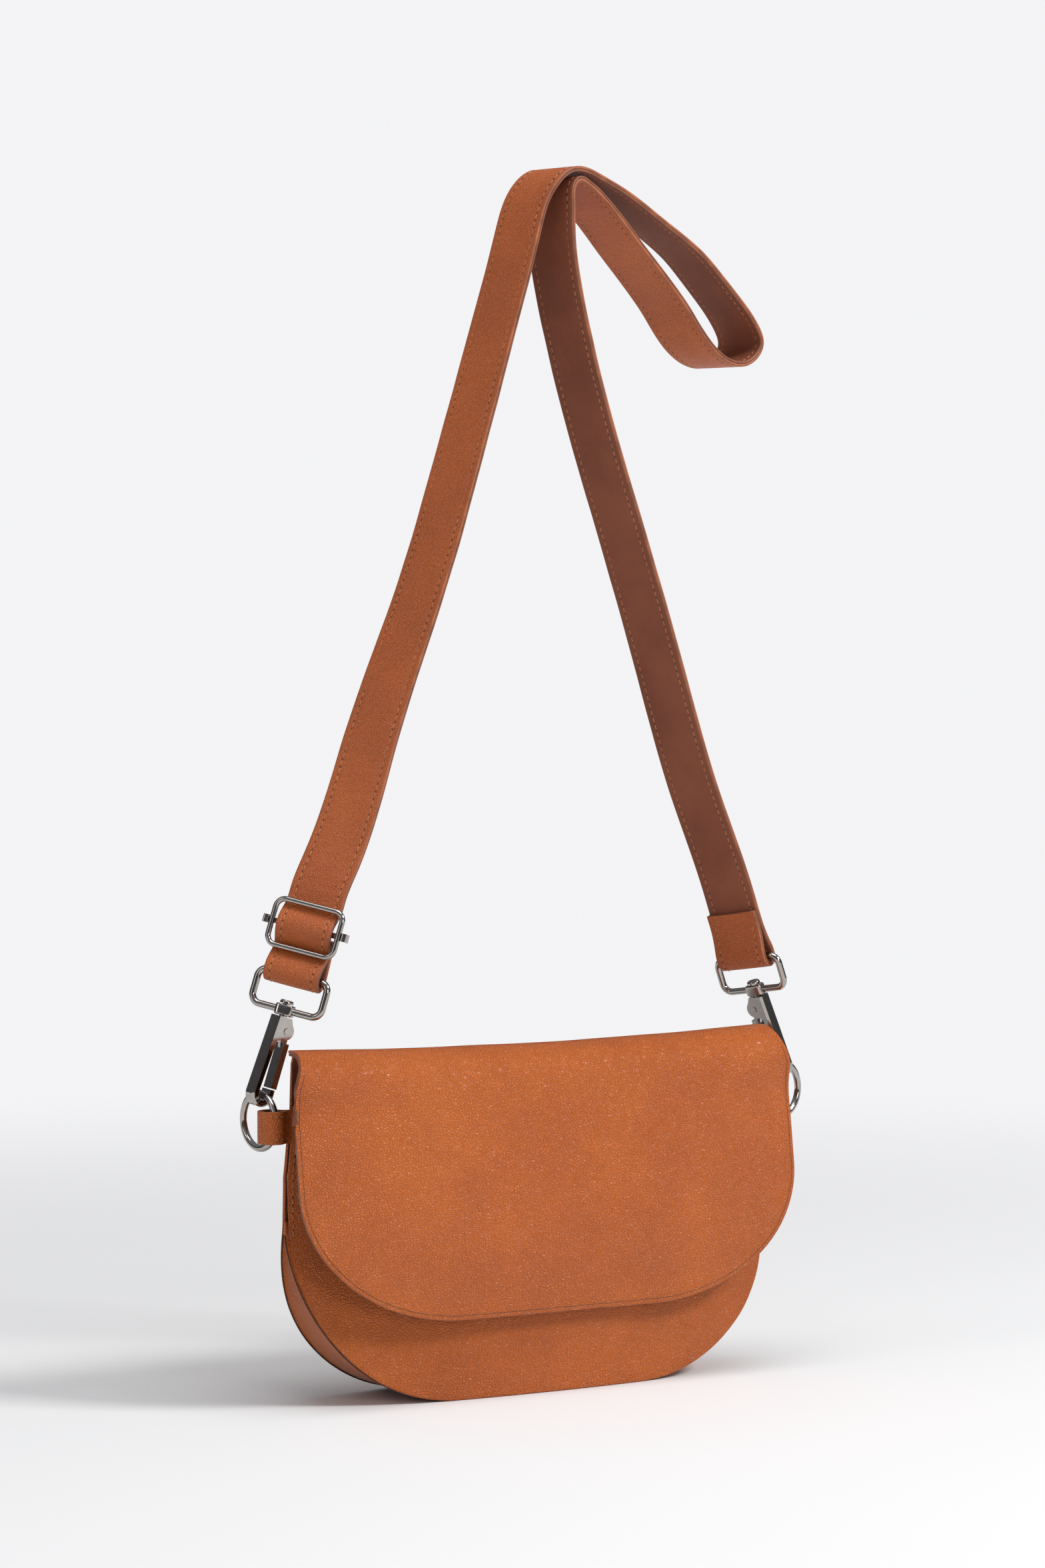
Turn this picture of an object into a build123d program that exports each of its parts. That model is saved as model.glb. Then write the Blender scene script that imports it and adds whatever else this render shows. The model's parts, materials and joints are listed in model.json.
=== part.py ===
from build123d import *
import os
from math import cos, radians, sin, sqrt

# A small half-moon leather sling bag, hung by the top of its shoulder strap.
#
# Frame: millimetres, +X to the bag's right, +Y to its back, +Z up.
# Origin: centre of the bag's flat base. The front, with the flap, faces -Y.

os.makedirs("parts", exist_ok=True)

# --- leather -------------------------------------------------------------
PANEL_T = 1.8            # front, back and gusset leather, turned edges included
LINING_T = 0.9
POCKET_T = 0.8
FLAP_OUTER_T = 1.4
FLAP_LINING_T = 1.0
TAB_T = 1.4

# --- bag body ------------------------------------------------------------
HALF_WIDTH = 117.0       # at the middle of the side seams
TOP_HALF_WIDTH = 114.0   # at the mouth
CORNER_R = 72.0          # lower corners of the half-moon
BASE_HALF = HALF_WIDTH - CORNER_R
WAIST_Z = 96.0           # above this the sides draw in to the mouth
MOUTH_Z = 124.0
BACK_TOP_Z = 147.0
# height, half depth at the middle, half depth at the side seams
BODY_STATIONS = [
    (-1.0, 22.5, 12.5),
    (26.0, 24.5, 12.0),
    (41.0, 25.0, 9.8),
    (56.0, 24.8, 6.5),
    (74.0, 23.5, 2.2),
    (96.0, 21.5, 2.1),
    (MOUTH_Z, 17.5, 2.1),
]
# the back panel goes on above the mouth and leans over to the top fold:
# height, outer Y at the middle, outer Y at the ends
BACK_NECK = [
    (MOUTH_Z, 17.5, 2.1),
    (132.0, 14.5, 1.8),
    (139.0, 8.5, 1.4),
    (144.0, 3.0, 0.8),
    (BACK_TOP_Z, -0.2, -0.9),
]

# --- flap ----------------------------------------------------------------
FLAP_HALF_WIDTH = 121.0
RIDGE_HALF_WIDTH = 116.0
FLAP_BOTTOM_Z = 35.5
FLAP_CORNER_Z = 91.0     # where the straight side turns into the low corner
FLAP_CORNER_RUN = 75.0   # how far the low corner reaches in along X
FLAP_SHOULDER_Z = 134.0  # above this the side draws in to the ridge
HINGE_Y = -3.2
HINGE_Z = 148.4
# the flap's inner face, from the fold line forwards and down
FLAP_INNER = [
    (-3.6, 147.2),
    (-10.5, 146.6),
    (-16.5, 142.0),
    (-20.5, 128.0),
    (-25.4, 96.0),
    (-28.6, 60.0),
    (-28.0, FLAP_BOTTOM_Z),
]

# --- magnetic snap -------------------------------------------------------
SNAP_Z = 58.0
SNAP_R = 7.0
SOCKET_T = 2.4
SOCKET_HOLE_R = 3.0
STUD_R = 2.5
STUD_REACH = 1.2
PLATE_T = 0.8
STUD_GAP = 0.45

# --- rings and tabs ------------------------------------------------------
RING_Z = 119.2
RING_R = 11.5            # to the middle of the wire
RING_WIRE_R = 1.5
TAB_HEIGHT = 13.8
TAB_Z = 117.35
TAB_EYE_R = 4.7
TAB_SEAM_X = 115.8
LEFT_EYE = (-121.7, 0.95)
RIGHT_EYE = (123.0, -0.7)
LEFT_RING_PIVOT = (-121.3, -1.5)
RIGHT_RING_PIVOT = (120.7, -1.5)
LEFT_RING_AZIMUTH = 99.0     # direction from the tab to the ring's middle
RIGHT_RING_AZIMUTH = 19.0
LEFT_HOLD_LEAN = 1.0         # 1: the hook's line runs through the ring's middle; 0: it holds the ring's top
RIGHT_HOLD_LEAN = 0.8

# --- swivel hooks --------------------------------------------------------
LEFT_BAR = Vector(-108.0, 7.0, 179.3)    # middle of the loop's upper bar
RIGHT_BAR = Vector(112.4, 2.0, 178.3)
LEFT_STRAP_DIR = Vector(0.30, -0.02, 0.954).normalized()
RIGHT_STRAP_DIR = Vector(-0.33, 0.0, 0.944).normalized()
LEFT_BAR_AZIMUTH = 42.0      # strap width direction, measured from -Y towards +X
RIGHT_BAR_AZIMUTH = 26.0
LOOP_WIRE_R = 1.5
LOOP_WIDTH = 32.0            # between the middles of the side wires
LOOP_HEIGHT = 15.0
LOOP_CORNER_R = 4.0
BOSS = (8.0, 4.8, 5.4)       # along the bar, along the post, through
POST_R = 1.6
POST_CLEAR = 0.06
POST_HEAD_R = 2.9
HOOK_HALF_T = 3.1
HOOK_TOP = -2.8              # hook heights are measured down from the loop's lower bar
THROAT_X = -0.6
THROAT_R = 2.9
THROAT_Z = -35.7
RIM = 2.8                    # metal around the throat
NOSE_TIP_Z = -33.3
PIVOT = (1.9, -8.4)
EAR_R = 3.6
EAR_SLOT = 1.7
LEVER_HUB_R = 2.7
LEVER_HALF_T = 0.8
LEVER_ARM_HALF_T = 2.8
LEVER_TOP_Z = -13.4
LEVER_TIP_Z = -32.8
PIN_R = 0.9

# --- slider --------------------------------------------------------------
SLIDER_S = 20.0              # its middle, up the strap from the loop's upper bar
SLIDER_N = 3.4               # its wire stands this far in front of the strap's line
SLIDER_WIRE_R = 1.2
SLIDER_WIDTH = 30.6
SLIDER_HEIGHT = 19.6
SLIDER_CORNER_R = 4.0
SLIDER_BAR_N = 1.6

# --- strap ---------------------------------------------------------------
STRAP_WIDTH = 25.0
STRAP_OUTER_T = 1.3
STRAP_LINING_T = 1.1
# left end, as (in front of the strap's line, up from the loop's bar):
# behind the slider's bar, round the loop, under, over and under the slider
LEFT_END = [
    (-0.9, 17.5), (-2.6, 11.5), (-3.5, 4.5), (-3.6, 0.0), (-2.6, -2.5),
    (0.0, -3.6), (2.6, -2.5), (3.6, 0.0), (3.0, 4.2), (1.0, 7.8), (0.1, 10.6),
    (1.2, 13.4), (3.2, 16.3), (4.3, 19.8), (3.6, 23.4), (1.6, 26.6), (0.0, 30.0), (-0.3, 36.0),
]
# free run: up the left side, over the peak, round the spare loop, down the right side
FREE_RUN = [
    (-91.5, 6.0, 226.0), (-72.7, 4.0, 280.0), (-51.8, 3.0, 336.0), (-33.6, 2.0, 392.0),
    (-17.0, 1.0, 448.0), (-5.0, 0.3, 490.0), (1.0, 0.2, 507.0), (12.0, 0.4, 517.6),
    (28.0, 4.0, 516.0), (49.0, 9.3, 508.2), (70.0, 14.5, 497.8), (90.0, 19.5, 486.8),
    (109.0, 24.2, 471.0), (122.0, 27.5, 458.5), (126.2, 28.5, 449.5), (120.5, 27.3, 442.2),
    (107.5, 24.0, 440.3), (94.0, 20.5, 447.0), (80.0, 17.0, 461.8), (62.0, 12.5, 479.0),
    (44.0, 8.0, 495.2), (29.0, 4.0, 507.6), (20.5, 2.0, 512.9), (16.0, 0.9, 514.2),
    (12.6, 0.3, 511.6), (11.6, 0.0, 505.5), (12.2, 0.0, 487.0), (16.5, 0.3, 463.0),
    (28.0, 0.7, 421.0), (47.6, 1.2, 364.0), (66.8, 1.6, 307.0), (86.6, 2.0, 249.0),
]
# right end, the same way round: down the outside, round the loop, up the inside
RIGHT_END = [
    (1.0, 44.0), (1.4, 26.0), (1.45, 14.0), (2.6, 6.5), (3.6, 0.5), (2.6, -2.5),
    (0.0, -3.6), (-2.6, -2.5), (-3.6, 0.5), (-2.6, 6.5), (-1.45, 13.0), (-1.4, 21.5),
]
# width direction of the free run, in degrees from -Y towards +X, by the share of the
# whole strap's length; up to the first and from the last it is the hook loop's own
STRAP_TURN = [
    (0.13, 33.0), (0.19, 24.0), (0.30, 19.0), (0.375, 17.0), (0.43, 8.0), (0.48, 14.0),
    (0.54, 24.0), (0.60, 21.0), (0.70, 19.0), (0.85, 23.0),
]
END_SHARES = (0.08, 0.95)


def save(builder, name):
    """Label a finished piece and write it."""
    builder.part.label = name
    export_step(builder.part, f"parts/{name}.step")


def level_direction(azimuth):
    """A level direction, turned from -Y towards +X."""
    return Vector(sin(radians(azimuth)), -cos(radians(azimuth)), 0)


def square_to(run, direction):
    """The direction at right angles to a run that is nearest to the one given."""
    return (direction - run * direction.dot(run)).normalized()


def bulge(x, mid, side):
    """Half depth of the body at x, on the arc through its middle and its side seams."""
    sagitta = mid - side
    if abs(sagitta) < 1e-6:
        return mid
    radius = (HALF_WIDTH**2 + sagitta**2) / (2 * sagitta)
    return mid - (radius - sqrt(radius**2 - x**2))


def reach(mid, side, inset, limit):
    """How far out the space between the panels goes before they meet."""
    x = limit
    while bulge(x, mid, side) < inset + 0.25:
        x -= 0.5
    return x


def lens_section(z, mid, side, inset=0.0, limit=HALF_WIDTH):
    """Plan of the body at one height: a front and a back arc joined at the ends."""
    end = reach(mid, side, inset, limit)
    depth = bulge(end, mid, side) - inset
    with BuildSketch(Plane.XY.offset(z)) as section:
        with BuildLine():
            ThreePointArc((-end, -depth), (0, -(mid - inset)), (end, -depth))
            Line((end, -depth), (end, depth))
            ThreePointArc((end, depth), (0, mid - inset), (-end, depth))
            Line((-end, depth), (-end, -depth))
        make_face()
    return section.sketch


def strip_section(z, mid, side, near, far, limit, way):
    """Plan of a thin curved strip; way is -1 for the front of the bag, +1 for its back."""
    outer_end = way * (bulge(limit, mid, side) - near)
    inner_end = way * (bulge(limit, mid, side) - far)
    with BuildSketch(Plane.XY.offset(z)) as section:
        with BuildLine():
            ThreePointArc((-limit, outer_end), (0, way * (mid - near)), (limit, outer_end))
            Line((limit, outer_end), (limit, inner_end))
            ThreePointArc((limit, inner_end), (0, way * (mid - far)), (-limit, inner_end))
            Line((-limit, inner_end), (-limit, outer_end))
        make_face()
    return section.sketch


def body_outline(inset=0.0, top=MOUTH_Z):
    """Front view of the half-moon body, drawn in from its edge by inset."""
    half = HALF_WIDTH - inset
    neck = TOP_HALF_WIDTH - inset
    low = inset
    with BuildSketch(Plane.XZ) as outline:
        with BuildLine():
            Line((-neck, top), (-half, WAIST_Z))
            Line((-half, WAIST_Z), (-half, CORNER_R))
            ThreePointArc(
                (-half, CORNER_R),
                (-BASE_HALF - (CORNER_R - inset) * sin(radians(45)), CORNER_R - (CORNER_R - inset) * cos(radians(45))),
                (-BASE_HALF, low),
            )
            Line((-BASE_HALF, low), (BASE_HALF, low))
            ThreePointArc(
                (BASE_HALF, low),
                (BASE_HALF + (CORNER_R - inset) * sin(radians(45)), CORNER_R - (CORNER_R - inset) * cos(radians(45))),
                (half, CORNER_R),
            )
            Line((half, CORNER_R), (half, WAIST_Z))
            Line((half, WAIST_Z), (neck, top))
            Line((neck, top), (-neck, top))
        make_face()
    return outline.sketch


def lens_volume(inset, outline_inset, top=MOUTH_Z):
    """The body's volume inside the given insets from its panels and from its edge."""
    with BuildPart() as volume:
        loft([lens_section(z, mid, side, inset) for z, mid, side in BODY_STATIONS], ruled=True)
        extrude(body_outline(outline_inset, top), amount=60, both=True, mode=Mode.INTERSECT)
    return volume.part


# --- bag body ------------------------------------------------------------
full_volume = lens_volume(0.0, 0.0)
inner_volume = lens_volume(PANEL_T, 0.0, MOUTH_Z)

with BuildPart() as front_panel:
    add(full_volume)
    add(inner_volume, mode=Mode.SUBTRACT)
    split(bisect_by=Plane.XZ, keep=Keep.TOP)
    with BuildSketch(Plane.XZ) as socket_hole:
        with Locations((0, SNAP_Z)):
            Circle(1.6)
    extrude(amount=60, mode=Mode.SUBTRACT)
save(front_panel, "front_panel")

with BuildPart() as back_panel:
    add(full_volume)
    add(inner_volume, mode=Mode.SUBTRACT)
    split(bisect_by=Plane.XZ, keep=Keep.BOTTOM)
    loft(
        [strip_section(z, mid, side, 0.0, PANEL_T, TOP_HALF_WIDTH, 1) for z, mid, side in BACK_NECK],
        ruled=True,
    )
save(back_panel, "back_panel")

with BuildPart() as bottom_gusset:
    add(inner_volume)
    extrude(body_outline(PANEL_T, MOUTH_Z + 1), amount=60, both=True, mode=Mode.SUBTRACT)
    with BuildSketch(Plane.XZ):
        with Locations((0, 100)):
            Rectangle(300, 52)
    extrude(amount=60, both=True, mode=Mode.SUBTRACT)
save(bottom_gusset, "bottom_gusset")

with BuildPart() as lining:
    add(lens_volume(PANEL_T + 0.05, PANEL_T + 0.05, MOUTH_Z))
    add(lens_volume(PANEL_T + LINING_T, PANEL_T + LINING_T, MOUTH_Z), mode=Mode.SUBTRACT)
    with BuildSketch(Plane.XZ) as lining_hole:
        with Locations((0, SNAP_Z)):
            Circle(SNAP_R + 0.3)
    extrude(amount=60, mode=Mode.SUBTRACT)
save(lining, "lining")

pocket_stations = [station for station in BODY_STATIONS if 40.0 < station[0] < 100.0]
pocket_inset = PANEL_T + LINING_T + 0.1
with BuildPart() as inner_pocket:
    loft(
        [
            strip_section(z, mid, side, pocket_inset, pocket_inset + POCKET_T, 48.0, 1)
            for z, mid, side in pocket_stations
        ],
        ruled=True,
    )
save(inner_pocket, "inner_pocket")


# --- flap ----------------------------------------------------------------
def flap_layer(offset_in, offset_out):
    """One layer of the flap: its side profile run across, trimmed to the rounded front view."""
    steps = 24
    curve = Spline(*[(y, z) for y, z in FLAP_INNER], mode=Mode.PRIVATE)
    points = [curve.position_at(i / steps) for i in range(steps + 1)]
    tangents = [curve.tangent_at(i / steps) for i in range(steps + 1)]
    normals = [Vector(t.Y, -t.X) for t in tangents]
    low = [(p.X + n.X * offset_in, p.Y + n.Y * offset_in) for p, n in zip(points, normals)]
    high = [(p.X + n.X * offset_out, p.Y + n.Y * offset_out) for p, n in zip(points, normals)]
    with BuildPart() as layer:
        with BuildSketch(Plane.YZ):
            with BuildLine():
                Spline(*low)
                Line(low[-1], high[-1])
                Spline(*high)
                Line(high[0], low[0])
            make_face()
        extrude(amount=FLAP_HALF_WIDTH, both=True)
        with BuildSketch(Plane.XZ):
            with BuildLine():
                edge = FLAP_HALF_WIDTH
                run = edge - FLAP_CORNER_RUN
                Line((-RIDGE_HALF_WIDTH, 160), (RIDGE_HALF_WIDTH, 160))
                Line((RIDGE_HALF_WIDTH, 160), (RIDGE_HALF_WIDTH, 149))
                Line((RIDGE_HALF_WIDTH, 149), (edge, FLAP_SHOULDER_Z))
                Line((edge, FLAP_SHOULDER_Z), (edge, FLAP_CORNER_Z))
                EllipticalCenterArc(
                    (run, FLAP_CORNER_Z), FLAP_CORNER_RUN, FLAP_CORNER_Z - FLAP_BOTTOM_Z,
                    start_angle=270, arc_size=90,
                )
                Line((run, FLAP_BOTTOM_Z), (-run, FLAP_BOTTOM_Z))
                EllipticalCenterArc(
                    (-run, FLAP_CORNER_Z), FLAP_CORNER_RUN, FLAP_CORNER_Z - FLAP_BOTTOM_Z,
                    start_angle=180, arc_size=90,
                )
                Line((-edge, FLAP_CORNER_Z), (-edge, FLAP_SHOULDER_Z))
                Line((-edge, FLAP_SHOULDER_Z), (-RIDGE_HALF_WIDTH, 149))
                Line((-RIDGE_HALF_WIDTH, 149), (-RIDGE_HALF_WIDTH, 160))
            make_face()
        extrude(amount=80, both=True, mode=Mode.INTERSECT)
    return layer


lining_blank = flap_layer(0.0, FLAP_LINING_T)
outer_blank = flap_layer(FLAP_LINING_T, FLAP_LINING_T + FLAP_OUTER_T)


# --- magnetic snap: a socket riveted in the front panel, a stud in the flap ---
def height_on(stations, z):
    """Half depth of the body at the middle, at one height."""
    for (z0, mid0, _), (z1, mid1, _) in zip(stations, stations[1:]):
        if z0 <= z <= z1:
            return mid0 + (mid1 - mid0) * (z - z0) / (z1 - z0)
    return stations[-1][1]


panel_y = -height_on(BODY_STATIONS, SNAP_Z - SNAP_R) - 0.1
washer_y = -height_on(BODY_STATIONS, SNAP_Z + SNAP_R) + PANEL_T + 0.1
flap_curve = Spline(*[(y, z) for y, z in FLAP_INNER])
flap_y = min(
    (abs(flap_curve.position_at(i / 400).Y - SNAP_Z), flap_curve.position_at(i / 400).X) for i in range(401)
)[1]

# sketches on a plane that faces the front grow towards -Y
with BuildPart() as snap_socket:
    with BuildSketch(Plane.XZ.offset(-panel_y)) as disc:
        with Locations((0, SNAP_Z)):
            Circle(SNAP_R)
    extrude(amount=SOCKET_T)
    fillet(snap_socket.edges().filter_by(GeomType.CIRCLE).sort_by(Axis.Y)[0], radius=0.7)
    with BuildSketch(Plane.XZ.offset(-panel_y + SOCKET_T)):
        with Locations((0, SNAP_Z)):
            Circle(SOCKET_HOLE_R)
    extrude(amount=-1.6, mode=Mode.SUBTRACT)
    with BuildSketch(Plane.XZ.offset(-panel_y)):
        with Locations((0, SNAP_Z)):
            Circle(1.5)
    extrude(amount=-(washer_y + PLATE_T + 0.2 - panel_y))
save(snap_socket, "snap_socket")

with BuildPart() as snap_socket_washer:
    with BuildSketch(Plane.XZ.offset(-washer_y)):
        with Locations((0, SNAP_Z)):
            Circle(SNAP_R - 0.5)
            Circle(1.5, mode=Mode.SUBTRACT)
    extrude(amount=-PLATE_T)
save(snap_socket_washer, "snap_socket_washer")

# the stud's plate lies on the flap's lining; its post goes through to a washer between the layers
with BuildPart() as snap_stud:
    with BuildSketch(Plane.XZ.offset(-flap_y - STUD_GAP)):
        with Locations((0, SNAP_Z)):
            Circle(SNAP_R)
    extrude(amount=-PLATE_T)
    with BuildSketch(Plane.XZ.offset(-flap_y - STUD_GAP - PLATE_T)):
        with Locations((0, SNAP_Z)):
            Circle(STUD_R)
    extrude(amount=-STUD_REACH)
    fillet(snap_stud.edges().filter_by(GeomType.CIRCLE).sort_by(Axis.Y)[-1], radius=0.5)
    with BuildSketch(Plane.XZ.offset(-flap_y - STUD_GAP)):
        with Locations((0, SNAP_Z)):
            Circle(1.3)
    extrude(amount=1.6)
save(snap_stud, "snap_stud")

with BuildPart() as flap_lining:
    add(lining_blank.part)
    with BuildSketch(Plane.XZ):
        with Locations((0, SNAP_Z)):
            Circle(1.4)
    extrude(amount=60, mode=Mode.SUBTRACT)
save(flap_lining, "flap_lining")

with BuildPart() as snap_stud_washer:
    with BuildSketch(Plane.XZ.offset(-flap_y + FLAP_LINING_T)):
        with Locations((0, SNAP_Z)):
            Circle(SNAP_R - 1.0)
            Circle(1.35, mode=Mode.SUBTRACT)
    extrude(amount=0.5)
save(snap_stud_washer, "snap_stud_washer")

with BuildPart() as flap_outer:
    add(outer_blank.part)
    with BuildSketch(Plane.XZ.offset(-flap_y - 2.0)):
        with Locations((0, SNAP_Z)):
            Circle(SNAP_R - 0.9)
    extrude(amount=2.0 + FLAP_LINING_T + 0.75, mode=Mode.SUBTRACT)
save(flap_outer, "flap_outer")


# --- side tabs and rings -------------------------------------------------
def make_tab(name, eye, way):
    """A leather loop sewn into the side seam, open enough for the ring's wire; way is -1 or +1."""
    outer_r = TAB_EYE_R + TAB_T
    seam_x = way * TAB_SEAM_X
    with BuildPart() as tab:
        with BuildSketch(Plane.XY.offset(TAB_Z - TAB_HEIGHT / 2)):
            with Locations(eye):
                Circle(outer_r)
            with BuildLine():
                Polyline(
                    (seam_x, -TAB_T), (eye[0] - way * 1.0, eye[1] - outer_r + 0.1),
                    (eye[0] - way * 1.0, eye[1] + outer_r - 0.1), (seam_x, TAB_T), close=True,
                )
            make_face()
            with Locations((seam_x - way * 5, 0)):
                Rectangle(10, 30, mode=Mode.SUBTRACT)
            with Locations(eye):
                Circle(TAB_EYE_R, mode=Mode.SUBTRACT)
        extrude(amount=TAB_HEIGHT)
    save(tab, name)
    return tab


def make_ring(name, pivot, azimuth):
    """A plain wire ring standing in the plane that its azimuth gives, its wire through the tab."""
    out = Vector(cos(radians(azimuth)), sin(radians(azimuth)), 0)
    centre = Vector(*pivot, RING_Z) + out * RING_R
    place = Plane(origin=centre, x_dir=out, z_dir=out.cross(Vector(0, 0, 1)))
    with BuildPart() as ring:
        with BuildSketch(Plane(origin=centre - out * RING_R, x_dir=out, z_dir=(0, 0, 1))):
            Circle(RING_WIRE_R)
        revolve(axis=Axis(centre, place.z_dir), revolution_arc=360)
    save(ring, name)
    return centre


make_tab("left_tab", LEFT_EYE, -1)
make_tab("right_tab", RIGHT_EYE, 1)
left_ring_centre = make_ring("left_ring", LEFT_RING_PIVOT, LEFT_RING_AZIMUTH)
right_ring_centre = make_ring("right_ring", RIGHT_RING_PIVOT, RIGHT_RING_AZIMUTH)


# --- strap-end loops -----------------------------------------------------
def strap_plane(bar, run, azimuth):
    """Plane across a strap end: x along its width, y up its run, z out of its finished face."""
    width = square_to(run, level_direction(azimuth))
    return Plane(origin=bar, x_dir=width, z_dir=width.cross(run))


left_place = strap_plane(LEFT_BAR, LEFT_STRAP_DIR, LEFT_BAR_AZIMUTH)
right_place = strap_plane(RIGHT_BAR, RIGHT_STRAP_DIR, RIGHT_BAR_AZIMUTH)


def rounded_wire(place, width, height, corner, wire_r, rise):
    """A closed wire loop in a plane: its lower side is at rise, its upper side height above."""
    with BuildSketch(place) as outline:
        with Locations((0, rise + height / 2)):
            RectangleRounded(width, height, corner)
    path = outline.sketch.faces()[0].outer_wire()
    with BuildPart() as wire:
        with BuildSketch(Plane(origin=path @ 0, z_dir=path % 0)):
            Circle(wire_r)
        sweep(path=path)
    return wire


def make_loop(name, place, hook):
    """The rectangular swivel loop, with the square boss that its hook's post turns in."""
    ring = rounded_wire(place, LOOP_WIDTH, LOOP_HEIGHT, LOOP_CORNER_R, LOOP_WIRE_R, -LOOP_HEIGHT)
    along, tall, through = BOSS
    with BuildPart() as loop:
        add(ring.part)
        with BuildSketch(place.offset(-through / 2)):
            with Locations((0, -LOOP_HEIGHT)):
                Rectangle(along, tall)
        extrude(amount=through)
        with BuildSketch(Plane(origin=hook.origin - hook.z_dir * 5, z_dir=hook.z_dir)):
            Circle(POST_R + POST_CLEAR)
        extrude(amount=10, mode=Mode.SUBTRACT)
    save(loop, name)


# --- swivel hooks --------------------------------------------------------
def hook_place(place, ring_centre, ring_azimuth, lean, way):
    """Hook frame: z up its post from the ring to the loop, x from its spine to its lever."""
    bar = place.origin - place.y_dir * LOOP_HEIGHT
    out = Vector(cos(radians(ring_azimuth)), sin(radians(ring_azimuth)), 0)
    towards = bar - ring_centre
    in_plane = Vector(0, 0, towards.Z) + out * towards.dot(out) * lean
    hold = ring_centre + in_plane.normalized() * RING_R
    up = (bar - hold).normalized()
    level = Vector(cos(radians(ring_azimuth + 90)), sin(radians(ring_azimuth + 90)), 0) * way
    level = (level - up * level.dot(up)).normalized()
    return Plane(origin=bar, x_dir=level, z_dir=up)


def make_hook(side, hook):
    """Body, post, lever, pin and spring of one hook."""
    face = Plane(origin=hook.origin, x_dir=hook.x_dir, z_dir=-hook.y_dir)
    outer_r = THROAT_R + RIM
    left_out = THROAT_X - outer_r
    right_out = THROAT_X + outer_r
    left_in = THROAT_X - THROAT_R
    right_in = THROAT_X + THROAT_R

    with BuildPart() as body:
        with BuildSketch(face):
            with BuildLine():
                Line((-4.4, HOOK_TOP), (left_out, THROAT_Z))
                ThreePointArc((left_out, THROAT_Z), (THROAT_X, THROAT_Z - outer_r), (right_out, THROAT_Z))
                Line((right_out, THROAT_Z), (right_out, NOSE_TIP_Z))
                Line((right_out, NOSE_TIP_Z), (right_in, NOSE_TIP_Z))
                Line((right_in, NOSE_TIP_Z), (right_in, THROAT_Z))
                ThreePointArc((right_in, THROAT_Z), (THROAT_X, THROAT_Z - THROAT_R), (left_in, THROAT_Z))
                Line((left_in, THROAT_Z), (-1.9, -13.5))
                Line((-1.9, -13.5), (0.6, -11.7))
                Line((0.6, -11.7), (PIVOT[0] + EAR_R, PIVOT[1]))
                Line((PIVOT[0] + EAR_R, PIVOT[1]), (2.8, HOOK_TOP))
                Line((2.8, HOOK_TOP), (-4.4, HOOK_TOP))
            make_face()
            with Locations(PIVOT):
                Circle(EAR_R)
        extrude(amount=HOOK_HALF_T, both=True)
        long_edges = body.edges().filter_by(lambda e: e.length > 25)
        outer_edges = long_edges.sort_by(lambda e: face.to_local_coords(e.center()).X)[:2]
        chamfer(outer_edges, length=0.9)
        with BuildSketch(face):
            with Locations(PIVOT):
                Circle(LEVER_HUB_R + 0.5)
            with Locations((PIVOT[0] + 0.9, PIVOT[1] - 3.2)):
                Rectangle(2 * LEVER_HUB_R + 2.6, 6.4)
        extrude(amount=EAR_SLOT, both=True, mode=Mode.SUBTRACT)
        with BuildSketch(face.offset(-HOOK_HALF_T - 1)):
            with Locations(PIVOT):
                Circle(PIN_R)
        extrude(amount=2 * HOOK_HALF_T + 2, mode=Mode.SUBTRACT)
    save(body, f"{side}_hook_body")

    post_top = BOSS[1] / 2 + 0.35
    with BuildPart() as post:
        with BuildSketch(Plane(origin=hook.origin, x_dir=hook.x_dir, z_dir=hook.z_dir).offset(HOOK_TOP)):
            Circle(POST_R)
        extrude(amount=post_top - HOOK_TOP)
        with BuildSketch(Plane(origin=hook.origin, x_dir=hook.x_dir, z_dir=hook.z_dir).offset(post_top)):
            Circle(POST_HEAD_R)
        extrude(amount=1.5)
        fillet(post.faces().sort_by(Axis(hook.origin, hook.z_dir))[-1].edges(), radius=0.9)
    save(post, f"{side}_swivel_post")

    with BuildPart() as lever:
        with BuildSketch(face):
            with Locations(PIVOT):
                Circle(LEVER_HUB_R)
            with BuildLine():
                Polyline(
                    (PIVOT[0] + 0.2, PIVOT[1] - 1.5), (right_out, PIVOT[1] - 2.0), (right_out, LEVER_TOP_Z - 2),
                    (right_in + 0.1, LEVER_TOP_Z - 2), (PIVOT[0] - 0.6, PIVOT[1] - 2.4), close=True,
                )
            make_face()
        extrude(amount=LEVER_HALF_T, both=True)
        with BuildSketch(face):
            with BuildLine():
                Polyline(
                    (right_out, LEVER_TOP_Z), (right_out, LEVER_TIP_Z), (right_in + 0.1, LEVER_TIP_Z),
                    (right_in + 0.1, LEVER_TOP_Z), close=True,
                )
            make_face()
        extrude(amount=LEVER_ARM_HALF_T, both=True)
        with BuildSketch(face.offset(-5)):
            with Locations(PIVOT):
                Circle(PIN_R + 0.05)
        extrude(amount=10, mode=Mode.SUBTRACT)
    save(lever, f"{side}_lever")

    with BuildPart() as pin:
        with BuildSketch(face.offset(-HOOK_HALF_T - 0.1)):
            with Locations(PIVOT):
                Circle(PIN_R)
        extrude(amount=2 * HOOK_HALF_T + 0.2)
        with BuildSketch(face.offset(HOOK_HALF_T)):
            with Locations(PIVOT):
                Circle(PIN_R + 0.6)
        extrude(amount=0.35)
        with BuildSketch(face.offset(-HOOK_HALF_T)):
            with Locations(PIVOT):
                Circle(PIN_R + 0.6)
        extrude(amount=-0.35)
    save(pin, f"{side}_lever_pin")

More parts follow.
